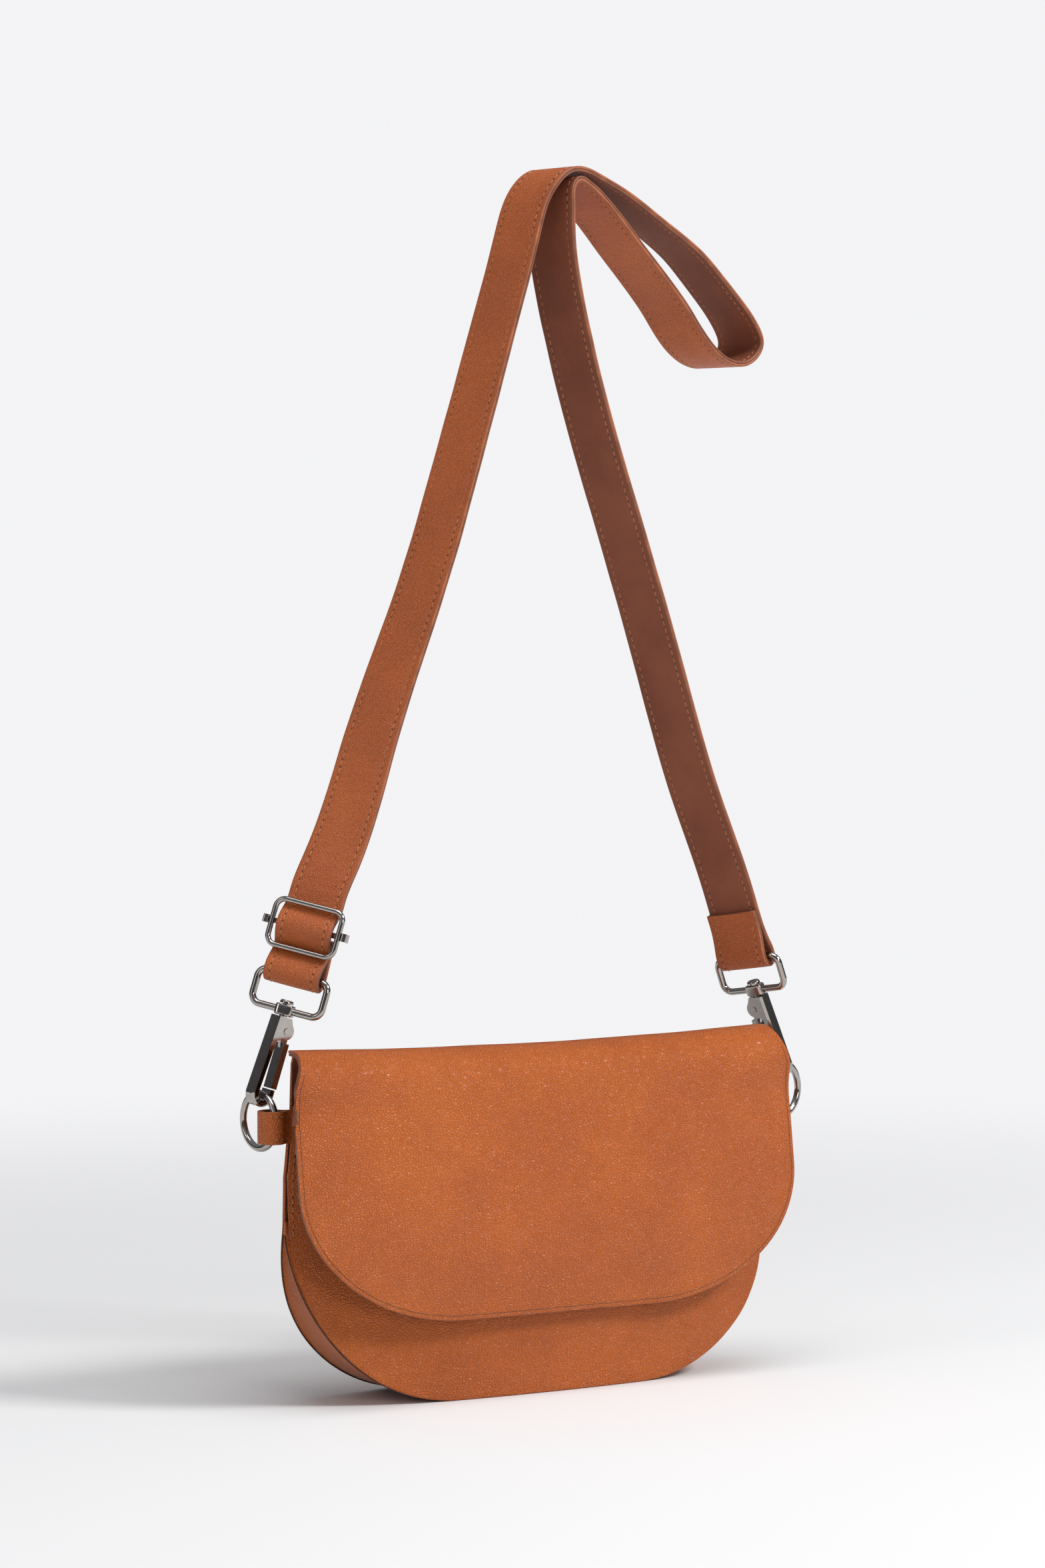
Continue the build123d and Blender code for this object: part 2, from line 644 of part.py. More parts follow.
    with BuildPart() as spring:
        for turn in (1.02, 1.26, 1.50):
            with BuildSketch(Plane(origin=face.origin, x_dir=face.x_dir, z_dir=face.z_dir).offset(turn - 0.1)):
                with Locations(PIVOT):
                    Circle(1.75)
                    Circle(1.25, mode=Mode.SUBTRACT)
            extrude(amount=0.2)
    save(spring, f"{side}_lever_spring")
    return face


left_hook = hook_place(left_place, left_ring_centre, LEFT_RING_AZIMUTH, LEFT_HOLD_LEAN, -1)
right_hook = hook_place(right_place, right_ring_centre, RIGHT_RING_AZIMUTH, RIGHT_HOLD_LEAN, 1)
make_loop("left_loop", left_place, left_hook)
make_loop("right_loop", right_place, right_hook)
left_face = make_hook("left", left_hook)
right_face = make_hook("right", right_hook)

# --- slider --------------------------------------------------------------
slider_plane = left_place.offset(SLIDER_N)
slider_low = SLIDER_S - SLIDER_HEIGHT / 2
slider_frame = rounded_wire(slider_plane, SLIDER_WIDTH, SLIDER_HEIGHT, SLIDER_CORNER_R, SLIDER_WIRE_R, slider_low)
save(slider_frame, "slider_frame")

bar_run = SLIDER_WIDTH / 2 + 2.6
lug_middle = SLIDER_WIDTH / 2 + SLIDER_WIRE_R + 1.5
bar_centre = left_place.origin + left_place.y_dir * SLIDER_S + left_place.z_dir * SLIDER_BAR_N
with BuildPart() as slider_bar:
    with BuildSketch(Plane(origin=bar_centre - left_place.x_dir * bar_run, z_dir=left_place.x_dir)):
        Circle(SLIDER_WIRE_R)
    extrude(amount=2 * bar_run)
    for end in (-1, 1):
        lug = bar_centre + left_place.x_dir * end * lug_middle + left_place.z_dir * 0.9
        with BuildSketch(Plane(origin=lug, x_dir=left_place.x_dir, z_dir=left_place.y_dir).offset(-1.7)):
            RectangleRounded(2.6, 4.2, 0.8)
        extrude(amount=3.4)
    add(slider_frame.part, mode=Mode.SUBTRACT)
save(slider_bar, "slider_bar")

# --- strap ---------------------------------------------------------------
left_points = [left_place.from_local_coords(Vector(0, s, n)) for n, s in LEFT_END]
# on the right the finished face looks along the strap's travel's own left, as it does all the way
right_points = [right_place.from_local_coords(Vector(0, s, -n)) for n, s in RIGHT_END]
route = left_points + [Vector(*point) for point in FREE_RUN] + right_points
strap_line = Spline(*route)


widths = [(share, level_direction(azimuth)) for share, azimuth in STRAP_TURN]
widths.insert(0, (END_SHARES[0], left_place.x_dir))
widths.append((END_SHARES[1], right_place.x_dir))


def width_at(share):
    """The strap's width direction, before it is squared to its run, at a share of its length."""
    if share <= widths[0][0]:
        return widths[0][1]
    for (u0, first), (u1, second) in zip(widths, widths[1:]):
        if u0 <= share <= u1:
            return first + (second - first) * ((share - u0) / (u1 - u0))
    return widths[-1][1]


def strap_stations():
    """Shares of the strap's length: close together at its folds, wide apart on its runs."""
    length = strap_line.length
    shares = [0.0]
    while shares[-1] < 1.0:
        here = strap_line.position_at(shares[-1])
        near_end = here.Z < 218
        at_loop = here.Z > 430
        step = 1.3 if near_end else (3.0 if at_loop else 14.0)
        shares.append(shares[-1] + step / length)
    shares[-1] = 1.0
    return shares


def strap_layer(low, high):
    """One layer of the strap, between two heights across its thickness."""
    with BuildPart() as layer:
        sections = []
        for share in strap_stations():
            run = strap_line.tangent_at(share)
            width = square_to(run, width_at(share))
            place = Plane(origin=strap_line.position_at(share), x_dir=width, z_dir=run)
            with BuildSketch(place) as section:
                with Locations((0, (low + high) / 2 * (1 if place.y_dir.dot(width.cross(run)) > 0 else -1))):
                    Rectangle(STRAP_WIDTH, high - low)
            sections.append(section.sketch)
        loft(sections, ruled=True)
    return layer


half_strap = (STRAP_OUTER_T + STRAP_LINING_T) / 2
strap_outer = strap_layer(half_strap - STRAP_OUTER_T, half_strap)
save(strap_outer, "strap_outer")
strap_lining = strap_layer(-half_strap, half_strap - STRAP_OUTER_T)
save(strap_lining, "strap_lining")
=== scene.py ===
import json
import math

import bmesh
import bpy
import numpy as np
from mathutils import Euler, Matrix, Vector, noise

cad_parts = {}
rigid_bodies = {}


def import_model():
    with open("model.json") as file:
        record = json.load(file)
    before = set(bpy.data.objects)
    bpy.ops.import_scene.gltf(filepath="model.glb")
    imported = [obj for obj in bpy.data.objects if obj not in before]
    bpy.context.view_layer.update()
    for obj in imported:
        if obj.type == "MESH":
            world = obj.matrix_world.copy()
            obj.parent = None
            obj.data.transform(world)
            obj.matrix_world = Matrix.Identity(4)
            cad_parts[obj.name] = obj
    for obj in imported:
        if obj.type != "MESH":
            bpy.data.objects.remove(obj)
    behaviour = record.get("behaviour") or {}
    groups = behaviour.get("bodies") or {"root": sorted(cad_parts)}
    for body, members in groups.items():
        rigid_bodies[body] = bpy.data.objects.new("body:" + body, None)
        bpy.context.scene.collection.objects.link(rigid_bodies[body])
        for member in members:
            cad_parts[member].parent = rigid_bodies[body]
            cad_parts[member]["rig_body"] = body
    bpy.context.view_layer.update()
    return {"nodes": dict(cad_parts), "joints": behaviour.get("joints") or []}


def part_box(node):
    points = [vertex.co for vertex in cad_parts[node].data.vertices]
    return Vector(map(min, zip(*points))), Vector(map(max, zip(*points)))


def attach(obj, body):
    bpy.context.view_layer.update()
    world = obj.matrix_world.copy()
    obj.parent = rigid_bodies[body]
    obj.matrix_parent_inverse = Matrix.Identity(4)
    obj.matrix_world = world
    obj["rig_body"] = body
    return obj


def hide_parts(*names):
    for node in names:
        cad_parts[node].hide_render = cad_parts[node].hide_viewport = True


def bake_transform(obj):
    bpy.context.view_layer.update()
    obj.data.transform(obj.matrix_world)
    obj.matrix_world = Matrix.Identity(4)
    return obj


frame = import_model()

NODES = frame["nodes"]

# ---------------------------------------------------------------- sizes, mm
HALF_WIDTH, TOP_HALF_WIDTH, CORNER_R, BASE_HALF = 117.0, 114.0, 72.0, 45.0
WAIST_Z, MOUTH_Z, BACK_TOP_Z = 96.0, 124.0, 147.0
# Stations up the bag: height, half depth in the middle, half depth at the sides.
BODY = np.array([
    (-1, 22.5, 12.5), (26, 24.5, 12.0), (41, 25.0, 9.8), (56, 24.8, 6.5), (74, 23.5, 2.2),
    (96, 21.5, 2.1), (124, 17.5, 2.1), (132, 14.5, 1.8), (139, 8.5, 1.4), (144, 3.0, 0.8), (147, -0.2, -0.9),
])
FLAP_HALF, RIDGE_HALF, FLAP_BASE_HALF, FLAP_RUN = 121.0, 116.0, 46.0, 75.0
FLAP_CORNER_Z, FLAP_BOTTOM_Z, SHOULDER_Z, RIDGE_Z = 91.0, 35.5, 134.0, 149.0
# The flap's inner face from the fold to its free edge, as (y, z).
FLAP_INNER = [
    (-3.6, 147.2), (-10.5, 146.6), (-16.5, 142.0), (-20.5, 128.0),
    (-25.4, 96.0), (-28.6, 60.0), (-28.0, 35.5),
]
FLAP_WRAP = 5.0  # how far the flap's sides curve back at their edge
DIP_DEPTH, DIP_HALF = 2.6, 118.0  # how far the top sinks in the middle, over this half width
PANEL_T, FLAP_OUTER_T, FLAP_LINING_T = 1.8, 1.4, 1.0
LINING_T, LINING_RIM, LINING_BACK_TOP = 0.6, 0.25, 128.0
SEAM_INSET = 0.9  # the panels stop this far inside the outline
SNAP_Z = 58.0
STRAP_HALF, STRAP_STITCH, STRAP_PITCH = 12.5, 9.6, 3.35
STRAP_FACE, STRAP_SPLIT = 1.2, -0.1  # the faces and the joint of its two layers, from the strap's middle
RING_R, RING_WIRE_R, RING_Z = 11.5, 1.5, 119.2
TAB_FOLD_R, TAB_T, TAB_STITCH_INSET = 6.1, 1.35, 2.2
LOOP_WIDTH, LOOP_HEIGHT, LOOP_WIRE_R = 32.0, 15.0, 1.5
SLIDER_WIDTH, SLIDER_HEIGHT, SLIDER_WIRE_R = 30.6, 19.6, 1.2
SLIDER_RISE, SLIDER_OUT = 10.2, 3.4
WIRE_CORNER = 4.0
PAPER = (0.90, 0.90, 0.915)  # the backdrop's tone


# ---------------------------------------------------------------- materials
def rgba(value):
    """A colour for a socket: a socket stays as it is and red, green, blue gets a full alpha."""
    return value if isinstance(value, bpy.types.NodeSocket) else (*value, 1)


class Shader:
    """A material's node tree, with short calls to add nodes."""

    def __init__(self, name):
        self.material = bpy.data.materials.new(name)
        self.material.use_nodes = True
        self.tree = self.material.node_tree
        self.tree.nodes.clear()
        output = self.tree.nodes.new("ShaderNodeOutputMaterial")
        self.bsdf = self.tree.nodes.new("ShaderNodeBsdfPrincipled")
        self.link(self.bsdf.outputs[0], output.inputs[0])
        self.place = self.add("ShaderNodeTexCoord").outputs["Object"]

    def add(self, kind, **inputs):
        made = self.tree.nodes.new(kind)
        for key, value in inputs.items():
            self.put(made.inputs[key.replace("_", " ")], value)
        return made

    def link(self, a, b):
        self.tree.links.new(a, b)

    def put(self, socket, value):
        if isinstance(value, bpy.types.NodeSocket):
            self.link(value, socket)
        else:
            socket.default_value = value

    def maths(self, operation, a, b=0.0):
        made = self.tree.nodes.new("ShaderNodeMath")
        made.operation = operation
        self.put(made.inputs[0], a)
        self.put(made.inputs[1], b)
        return made.outputs[0]

    def noise(self, scale, detail=3.0, roughness=0.55, place=None):
        made = self.add("ShaderNodeTexNoise", Scale=scale, Detail=detail, Roughness=roughness)
        self.link(place or self.place, made.inputs["Vector"])
        return made.outputs["Fac"]

    def warp(self, scale, amount):
        """The object's coordinates, pushed about by noise, in metres."""
        made = self.add("ShaderNodeTexNoise", Scale=scale, Detail=2.0)
        self.link(self.place, made.inputs["Vector"])
        centred = self.tree.nodes.new("ShaderNodeVectorMath")
        centred.operation = "SUBTRACT"
        self.link(made.outputs["Color"], centred.inputs[0])
        centred.inputs[1].default_value = (0.5, 0.5, 0.5)
        moved = self.tree.nodes.new("ShaderNodeVectorMath")
        moved.operation = "MULTIPLY_ADD"
        self.link(centred.outputs[0], moved.inputs[0])
        moved.inputs[1].default_value = (amount,) * 3
        self.link(self.place, moved.inputs[2])
        return moved.outputs[0]

    def voronoi(self, scale, feature, output, place):
        made = self.add("ShaderNodeTexVoronoi", Scale=scale)
        made.feature = feature
        self.link(place, made.inputs["Vector"])
        return made.outputs[output]

    def ramp(self, factor, *stops):
        made = self.tree.nodes.new("ShaderNodeValToRGB")
        made.color_ramp.interpolation = "EASE"
        elements = made.color_ramp.elements
        while len(elements) < len(stops):
            elements.new(0.5)
        for element, (position, colour) in zip(elements, stops):
            element.position = position
            element.color = rgba(colour)
        self.link(factor, made.inputs[0])
        return made.outputs[0]

    def mix(self, factor, a, b, kind="MIX"):
        made = self.tree.nodes.new("ShaderNodeMix")
        made.data_type = "RGBA"
        made.blend_type = kind
        self.put(made.inputs[0], factor)
        for socket, value in ((made.inputs[6], a), (made.inputs[7], b)):
            self.put(socket, rgba(value))
        return made.outputs[2]

    def bump(self, height, distance, strength, normal=None):
        made = self.add("ShaderNodeBump", Height=height, Distance=distance, Strength=strength)
        if normal is not None:
            self.link(normal, made.inputs["Normal"])
        return made.outputs[0]

    def finish(self, colour, rough, normal=None, **inputs):
        self.put(self.bsdf.inputs["Base Color"], rgba(colour))
        self.put(self.bsdf.inputs["Roughness"], rough)
        if normal is not None:
            self.link(normal, self.bsdf.inputs["Normal"])
        for key, value in inputs.items():
            self.bsdf.inputs[key.replace("_", " ")].default_value = value
        return self.material


def pebble_leather(name, light, dark, cell, depth, shine, wrinkle=0.0):
    """Soft pebble-grain leather: rounded grains of uneven size, with fine creases between them.

    cell is a grain's width, depth its height and wrinkle the height of creases across it, in metres."""
    s = Shader(name)
    place = s.warp(260.0, 0.0009)
    edge = s.voronoi(1 / cell, "DISTANCE_TO_EDGE", "Distance", place)
    grain = s.ramp(edge, (0.0, (0, 0, 0)), (0.20, (0.60,) * 3), (0.48, (1, 1, 1)))
    small_edge = s.voronoi(2.3 / cell, "DISTANCE_TO_EDGE", "Distance", place)
    small = s.ramp(small_edge, (0.0, (0.35,) * 3), (0.22, (1, 1, 1)))
    fine = s.noise(4200.0, 4.0)
    broad = s.noise(26.0, 4.0, 0.6)
    share = s.maths("ADD", 0.55, s.maths("MULTIPLY", small, 0.45))
    height = s.maths("ADD", s.maths("MULTIPLY", grain, share), s.maths("MULTIPLY", fine, 0.12))
    normal = s.bump(height, depth, 0.9)
    normal = s.bump(s.noise(150.0, 3.0), 0.0005, 0.35, normal)
    if wrinkle:
        stretched = s.add("ShaderNodeMapping", Vector=s.place, Scale=(0.2, 0.2, 1.0))
        normal = s.bump(s.noise(430.0, 3.0, 0.6, stretched.outputs[0]), wrinkle, 0.6, normal)
    tone = s.ramp(broad, (0.30, dark), (0.72, light))
    cell_tone = s.voronoi(1 / cell, "F1", "Color", place)
    uneven = s.add("ShaderNodeSeparateColor", Color=cell_tone).outputs[0]
    tone = s.mix(s.maths("MULTIPLY", uneven, 0.16), tone, dark)
    # The colour darkens towards the creases between the grains: painted shade in their hollows.
    shade = s.ramp(grain, (0.0, (0.70, 0.64, 0.60)), (0.6, (1, 1, 1)))
    colour = s.mix(0.8, tone, shade, "MULTIPLY")
    rough = s.maths("ADD", shine, s.maths("MULTIPLY", s.noise(90.0, 3.0), 0.16))
    return s.finish(colour, rough, normal, Specular_IOR_Level=0.55)


def smooth_leather(name, light, dark):
    """The flesh-dyed lining leather: fine pores and a soft fibre nap."""
    s = Shader(name)
    pores = s.voronoi(1400.0, "F1", "Distance", s.warp(500.0, 0.0004))
    fibre = s.noise(2600.0, 5.0, 0.7)
    broad = s.noise(34.0, 4.0, 0.6)
    height = s.maths("ADD", s.maths("MULTIPLY", pores, 0.5), fibre)
    normal = s.bump(height, 0.00012, 0.7)
    colour = s.mix(s.maths("MULTIPLY", fibre, 0.35), s.ramp(broad, (0.3, dark), (0.7, light)), dark)
    rough = s.maths("ADD", 0.62, s.maths("MULTIPLY", fibre, 0.12))
    return s.finish(colour, rough, normal, Specular_IOR_Level=0.35)


def woven_cloth(name, light, dark):
    """Plain-weave lining cloth, its threads 0.45 mm apart."""
    s = Shader(name)
    split = s.add("ShaderNodeSeparateXYZ", Vector=s.place)
    wave = 2 * math.pi / 0.0009
    across = s.maths("SINE", s.maths("MULTIPLY", split.outputs[0], wave))
    rise = s.maths("ADD", split.outputs[2], split.outputs[1])
    along = s.maths("SINE", s.maths("MULTIPLY", rise, wave))
    weave = s.maths("ADD", s.maths("MULTIPLY", s.maths("MULTIPLY", across, along), 0.5), 0.5)
    slub = s.noise(700.0, 3.0)
    normal = s.bump(s.maths("ADD", weave, s.maths("MULTIPLY", slub, 0.5)), 0.00015, 0.8)
    # The colour darkens where the weave sinks: painted shade between the threads.
    colour = s.mix(s.maths("MULTIPLY", weave, 0.6), dark, s.ramp(slub, (0.3, dark), (0.7, light)))
    return s.finish(colour, 0.85, normal, Specular_IOR_Level=0.2, Sheen_Weight=0.15)


def edge_coat(name, colour, line):
    """Cut leather edge: dense fibres with a slight dressing."""
    s = Shader(name)
    fibre = s.noise(3000.0, 4.0, 0.7)
    tone = s.ramp(s.noise(120.0, 3.0), (0.3, line), (0.7, colour))
    return s.finish(s.mix(s.maths("MULTIPLY", fibre, 0.4), tone, line), 0.55, s.bump(fibre, 0.00010, 0.6))


def waxed_thread(name, colour):
    """Twisted, lightly waxed sewing thread."""
    s = Shader(name)
    fibre = s.noise(5200.0, 3.0, 0.7)
    tone = s.ramp(s.noise(240.0, 2.0), (0.3, tuple(c * 0.7 for c in colour)), (0.7, colour))
    shaded = s.mix(s.maths("MULTIPLY", fibre, 0.4), tone, tuple(c * 0.45 for c in colour))
    return s.finish(shaded, 0.6, s.bump(fibre, 0.00008, 0.8))


def polished_metal(name, colour, rough, wear):
    """Plated hardware: polished, with faint hairlines and finger-dulled patches."""
    s = Shader(name)
    patches = s.noise(180.0, 4.0, 0.6)
    hair = s.noise(2400.0, 2.0, 0.5)
    tone = s.ramp(patches, (0.25, tuple(c * 0.90 for c in colour)), (0.75, colour))
    roughness = s.maths("ADD", rough, s.maths("MULTIPLY", patches, wear))
    return s.finish(tone, roughness, s.bump(hair, 0.000004, 0.15), Metallic=1.0)


def studio_floor():
    """Pale paper that turns into the plain backdrop tone from 0.2 to 1.2 m away from the middle."""
    s = Shader("studio_paper")
    away = s.add("ShaderNodeVectorMath")
    away.operation = "LENGTH"
    s.link(s.place, away.inputs[0])
    far = s.ramp(s.maths("DIVIDE", away.outputs["Value"], 4.0), (0.05, (0, 0, 0)), (0.30, (1, 1, 1)))
    fibre = s.noise(900.0, 3.0)
    material = s.finish((0.80, 0.80, 0.80), 0.9, s.bump(fibre, 0.0001, 0.2), Specular_IOR_Level=0.1)
    glow = s.add("ShaderNodeEmission", Color=rgba(PAPER), Strength=1.0)
    blend = s.tree.nodes.new("ShaderNodeMixShader")
    s.link(far, blend.inputs[0])
    s.link(s.bsdf.outputs[0], blend.inputs[1])
    s.link(glow.outputs[0], blend.inputs[2])
    output = next(n for n in s.tree.nodes if n.bl_idname == "ShaderNodeOutputMaterial")
    s.link(blend.outputs[0], output.inputs[0])
    return material


COGNAC = pebble_leather("cognac_leather", (0.60, 0.134, 0.008), (0.50, 0.103, 0.005),
                        cell=0.00115, depth=0.00056, shine=0.27)
STRAP_COGNAC = pebble_leather("strap_leather", (0.56, 0.126, 0.017), (0.45, 0.094, 0.011),
                              cell=0.00085, depth=0.00026, shine=0.40, wrinkle=0.0005)
MAUVE = smooth_leather("lining_leather", (0.27, 0.080, 0.037), (0.205, 0.058, 0.027))
CLOTH = woven_cloth("lining_cloth", (0.27, 0.19, 0.145), (0.13, 0.085, 0.06))
EDGE = edge_coat("leather_edge", (0.42, 0.125, 0.045), (0.22, 0.062, 0.026))
DARK_EDGE = edge_coat("lining_edge", (0.27, 0.085, 0.035), (0.15, 0.048, 0.022))
# Near-black brown for painted shade: in the stitch holes, along the gusset seams and in the crease by the
# flap's edge.
GROOVE_SHADE = edge_coat("pressed_line", (0.10, 0.035, 0.015), (0.05, 0.018, 0.010))
THREAD = waxed_thread("thread", (0.60, 0.22, 0.085))
METAL = polished_metal("gunmetal", (0.44, 0.405, 0.38), 0.07, 0.08)
SPRING = polished_metal("spring_steel", (0.55, 0.55, 0.54), 0.28, 0.1)


# ---------------------------------------------------------------- geometry helpers
def unit(v):
    v = np.asarray(v, float)
    return v / np.maximum(np.linalg.norm(v, axis=-1, keepdims=True), 1e-12)


def lengths_along(p):
    """The length along a polyline at each of its points."""
    return np.concatenate([[0], np.cumsum(np.linalg.norm(np.diff(p, axis=0), axis=1))])


def cubic(points, samples):
    """A smooth curve with continuous curvature through points.

    Gives places and directions at shares of it, and the length of the polyline through its points."""
    p = np.asarray(points, float)
    t = lengths_along(p)
    h = np.diff(t)
    n = len(p)
    a = np.zeros((n, n))
    b = np.zeros((n, p.shape[1]))
    a[0, 0] = a[-1, -1] = 1
    for i in range(1, n - 1):
        a[i, i - 1], a[i, i], a[i, i + 1] = h[i - 1], 2 * (h[i - 1] + h[i]), h[i]
        b[i] = 6 * ((p[i + 1] - p[i]) / h[i] - (p[i] - p[i - 1]) / h[i - 1])
    m = np.linalg.solve(a, b)
    u = np.asarray(samples) * t[-1]
    k = np.clip(np.searchsorted(t, u, side="right") - 1, 0, n - 2)
    d, hk = (u - t[k])[:, None], h[k][:, None]
    c1 = (p[k + 1] - p[k]) / hk - hk * (2 * m[k] + m[k + 1]) / 6
    c3 = (m[k + 1] - m[k]) / (6 * hk)
    return p[k] + c1 * d + m[k] / 2 * d**2 + c3 * d**3, unit(c1 + m[k] * d + 3 * c3 * d**2), t[-1]


def wander(points, size, seed):
    """Smooth, fixed noise from -1 to 1 at each point; size is its grain in mm."""
    flat = np.asarray(points, float).reshape(-1, 3)
    shift = Vector((seed * 13.7, seed * 7.3, seed * 3.1))
    values = [noise.noise(Vector(p) / size + shift) for p in flat]
    return np.array(values).reshape(np.asarray(points).shape[:-1])


def smooth_step(x, low, high):
    t = np.clip((np.asarray(x, float) - low) / (high - low), 0, 1)
    return t * t * (3 - 2 * t)


def to_object(name, verts, faces, materials, face_materials, sharp=None):
    mesh = bpy.data.meshes.new(name)
    mesh.from_pydata([tuple(v) for v in np.asarray(verts) * 0.001], [], faces)
    for material in materials:
        mesh.materials.append(material)
    mesh.polygons.foreach_set("material_index", face_materials)
    made = bmesh.new()
    made.from_mesh(mesh)
    bmesh.ops.recalc_face_normals(made, faces=made.faces)
    made.to_mesh(mesh)
    made.free()
    mesh.shade_smooth()
    if sharp:
        mesh.set_sharp_from_angle(angle=math.radians(sharp))
    obj = bpy.data.objects.new(name, mesh)
    bpy.context.scene.collection.objects.link(obj)
    return obj


def grid_normals(g):
    return unit(np.cross(np.gradient(g, axis=0), np.gradient(g, axis=1)))


def sheet(name, g, thick, rim, materials, facing, rim_steps=6, rim_material=None):
    """A sheet with its outer face on grid g, its thickness inwards and a rounded edge all round.

    facing is the direction that the outer face's middle looks in. The materials are for the outer face, the
    inner face and the rim. rim_material can pick another of the three at each place on the rim."""
    n = grid_normals(g)
    rows, columns = g.shape[:2]
    if np.dot(n[rows // 2, columns // 2], facing) < 0:
        n = -n
    perimeter = [(i, 0) for i in range(rows)] + [(rows - 1, j) for j in range(1, columns)]
    perimeter += [(i, columns - 1) for i in range(rows - 2, -1, -1)]
    perimeter += [(0, j) for j in range(columns - 2, 0, -1)]
    verts = [g.reshape(-1, 3), (g - n * thick).reshape(-1, 3)]
    size = rows * columns
    ring = [i * columns + j for i, j in perimeter]
    inward = [(min(max(i, 1), rows - 2), min(max(j, 1), columns - 2)) for i, j in perimeter]
    edge = np.array([g[ij] for ij in perimeter])
    normal = np.array([n[ij] for ij in perimeter])
    out = edge - np.array([g[ij] for ij in inward])
    out = unit(out - normal * (out * normal).sum(1)[:, None])
    faces, slots = [], []
    for layer in (0, 1):
        for i in range(rows - 1):
            for j in range(columns - 1):
                a = layer * size + i * columns + j
                faces.append((a, a + columns, a + columns + 1, a + 1))
                slots.append(layer)
    rings = [ring]
    start = 2 * size
    for k in range(1, rim_steps):
        angle = math.pi * k / rim_steps
        verts.append(edge - normal * thick * (1 - math.cos(angle)) / 2 + out * rim * math.sin(angle))
        rings.append(list(range(start, start + len(ring))))
        start += len(ring)
    rings.append([r + size for r in ring])
    for upper, lower in zip(rings, rings[1:]):
        for k in range(len(ring)):
            m = (k + 1) % len(ring)
            faces.append((upper[k], upper[m], lower[m], lower[k]))
            slots.append(2 if rim_material is None else rim_material(perimeter[k]))
    return to_object(name, np.concatenate(verts), faces, materials, slots)


def tube(name, path, radius, material, closed=False, sides=20):
    """A round wire along a path."""
    p = np.asarray(path, float)
    if closed:
        t = unit(np.roll(p, -1, 0) - np.roll(p, 1, 0))
    else:
        t = unit(np.gradient(p, axis=0))
    nudge = np.array([0.001, 0.002, 0.003])
    side = unit(np.cross(t, unit(np.cross(p[1] - p[0], p[len(p) // 3] - p[0] + nudge))))
    up = unit(np.cross(t, side))
    verts, faces = [], []
    for k in range(sides):
        a = 2 * math.pi * k / sides
        verts.append(p + radius * (side * math.cos(a) + up * math.sin(a)))
    verts = np.stack(verts, 1).reshape(-1, 3)
    n = len(p)
    for i in range(n if closed else n - 1):
        for k in range(sides):
            m, j = (k + 1) % sides, (i + 1) % n
            faces.append((i * sides + k, i * sides + m, j * sides + m, j * sides + k))
    if not closed:
        faces += [tuple(range(sides)), tuple(range((n - 1) * sides, n * sides))]
    return to_object(name, verts, faces, [material], [0] * len(faces), 40)


def stitches(name, rows, length, radius, sunk=0.10):
    """Sewing thread: rows of (places, directions, normals) with one stitch at each place."""
    # Along the stitch, in lengths; how wide and how high, in radii.
    rings = [
        (-0.5, 0.25, -0.5), (-0.42, 0.8, -0.12), (-0.2, 1.0, 0.0),
        (0.2, 1.0, 0.0), (0.42, 0.8, -0.12), (0.5, 0.25, -0.5),
    ]
    hole_half, hole_lift = 0.30, 0.03
    sides = 7
    verts, faces, hole_shade_faces = [], [], []
    for places, directions, normals in rows:
        for p, d, n in zip(places, unit(directions), unit(normals)):
            side = unit(np.cross(d, n))
            base = len(verts)
            for along, wide, high in rings:
                for k in range(sides):
                    a = 2 * math.pi * k / sides
                    verts.append(p + d * along * length + side * radius * wide * math.cos(a)
                                 + n * (radius * wide * math.sin(a) + high * radius - sunk))
            for r in range(len(rings) - 1):
                here, ahead = base + r * sides, base + (r + 1) * sides
                for k in range(sides):
                    m = (k + 1) % sides
                    faces.append((here + k, here + m, ahead + m, ahead + k))
            faces.append(tuple(base + k for k in range(sides)))
            faces.append(tuple(base + (len(rings) - 1) * sides + k for k in range(sides)))
            # Dark discs at both ends of each stitch: painted shade in the stitch holes.
            for end in (-0.56, 0.56):
                base = len(verts)
                for k in range(sides):
                    a = 2 * math.pi * k / sides
                    along = end * length + hole_half * math.cos(a)
                    verts.append(p + d * along + side * radius * 0.9 * math.sin(a) + n * hole_lift)
                hole_shade_faces.append(len(faces))
                faces.append(tuple(base + k for k in range(sides)))
    slots = np.zeros(len(faces), int)
    slots[hole_shade_faces] = 1
    return to_object(name, np.array(verts), faces, [THREAD, GROOVE_SHADE], slots.tolist())


def row_of(points, normals, pitch, skip=0.5):
    """Even stitch places along a polyline, with their directions and normals."""
    p = np.asarray(points, float)
    s = lengths_along(p)
    at = np.arange(pitch * skip, s[-1] - pitch * 0.4, pitch)

    def sample(values, where):
        return np.stack([np.interp(where, s, values[:, c]) for c in range(3)], 1)

    places = sample(p, at)
    return places, sample(p, at + 0.6) - places, sample(np.asarray(normals, float), at)


# ---------------------------------------------------------------- body shapes
def depth_at(z, column):
    """Half depth at a height, eased across the stations of BODY; column 1 is its middle and 2 its sides."""
    spread = np.array([-4.0, -2.0, 0.0, 2.0, 4.0])
    weights = np.array([1, 2, 3, 2, 1]) / 9
    near_top = np.clip((BACK_TOP_Z - np.asarray(z, float)) / 12, 0, 1)
    return sum(w * np.interp(z + d * near_top, BODY[:, 0], BODY[:, column]) for d, w in zip(spread, weights))


def half_depth(x, z):
    """Half depth at a place: each level is an arc from side to side."""
    middle, side = depth_at(z, 1), depth_at(z, 2)
    sagitta = np.where(np.abs(middle - side) < 1e-4, 1e-4, middle - side)
    radius = (HALF_WIDTH**2 + sagitta**2) / (2 * sagitta)
    lift = np.abs(radius) - np.sqrt(radius**2 - np.asarray(x, float) ** 2)
    return middle - np.sign(radius) * lift


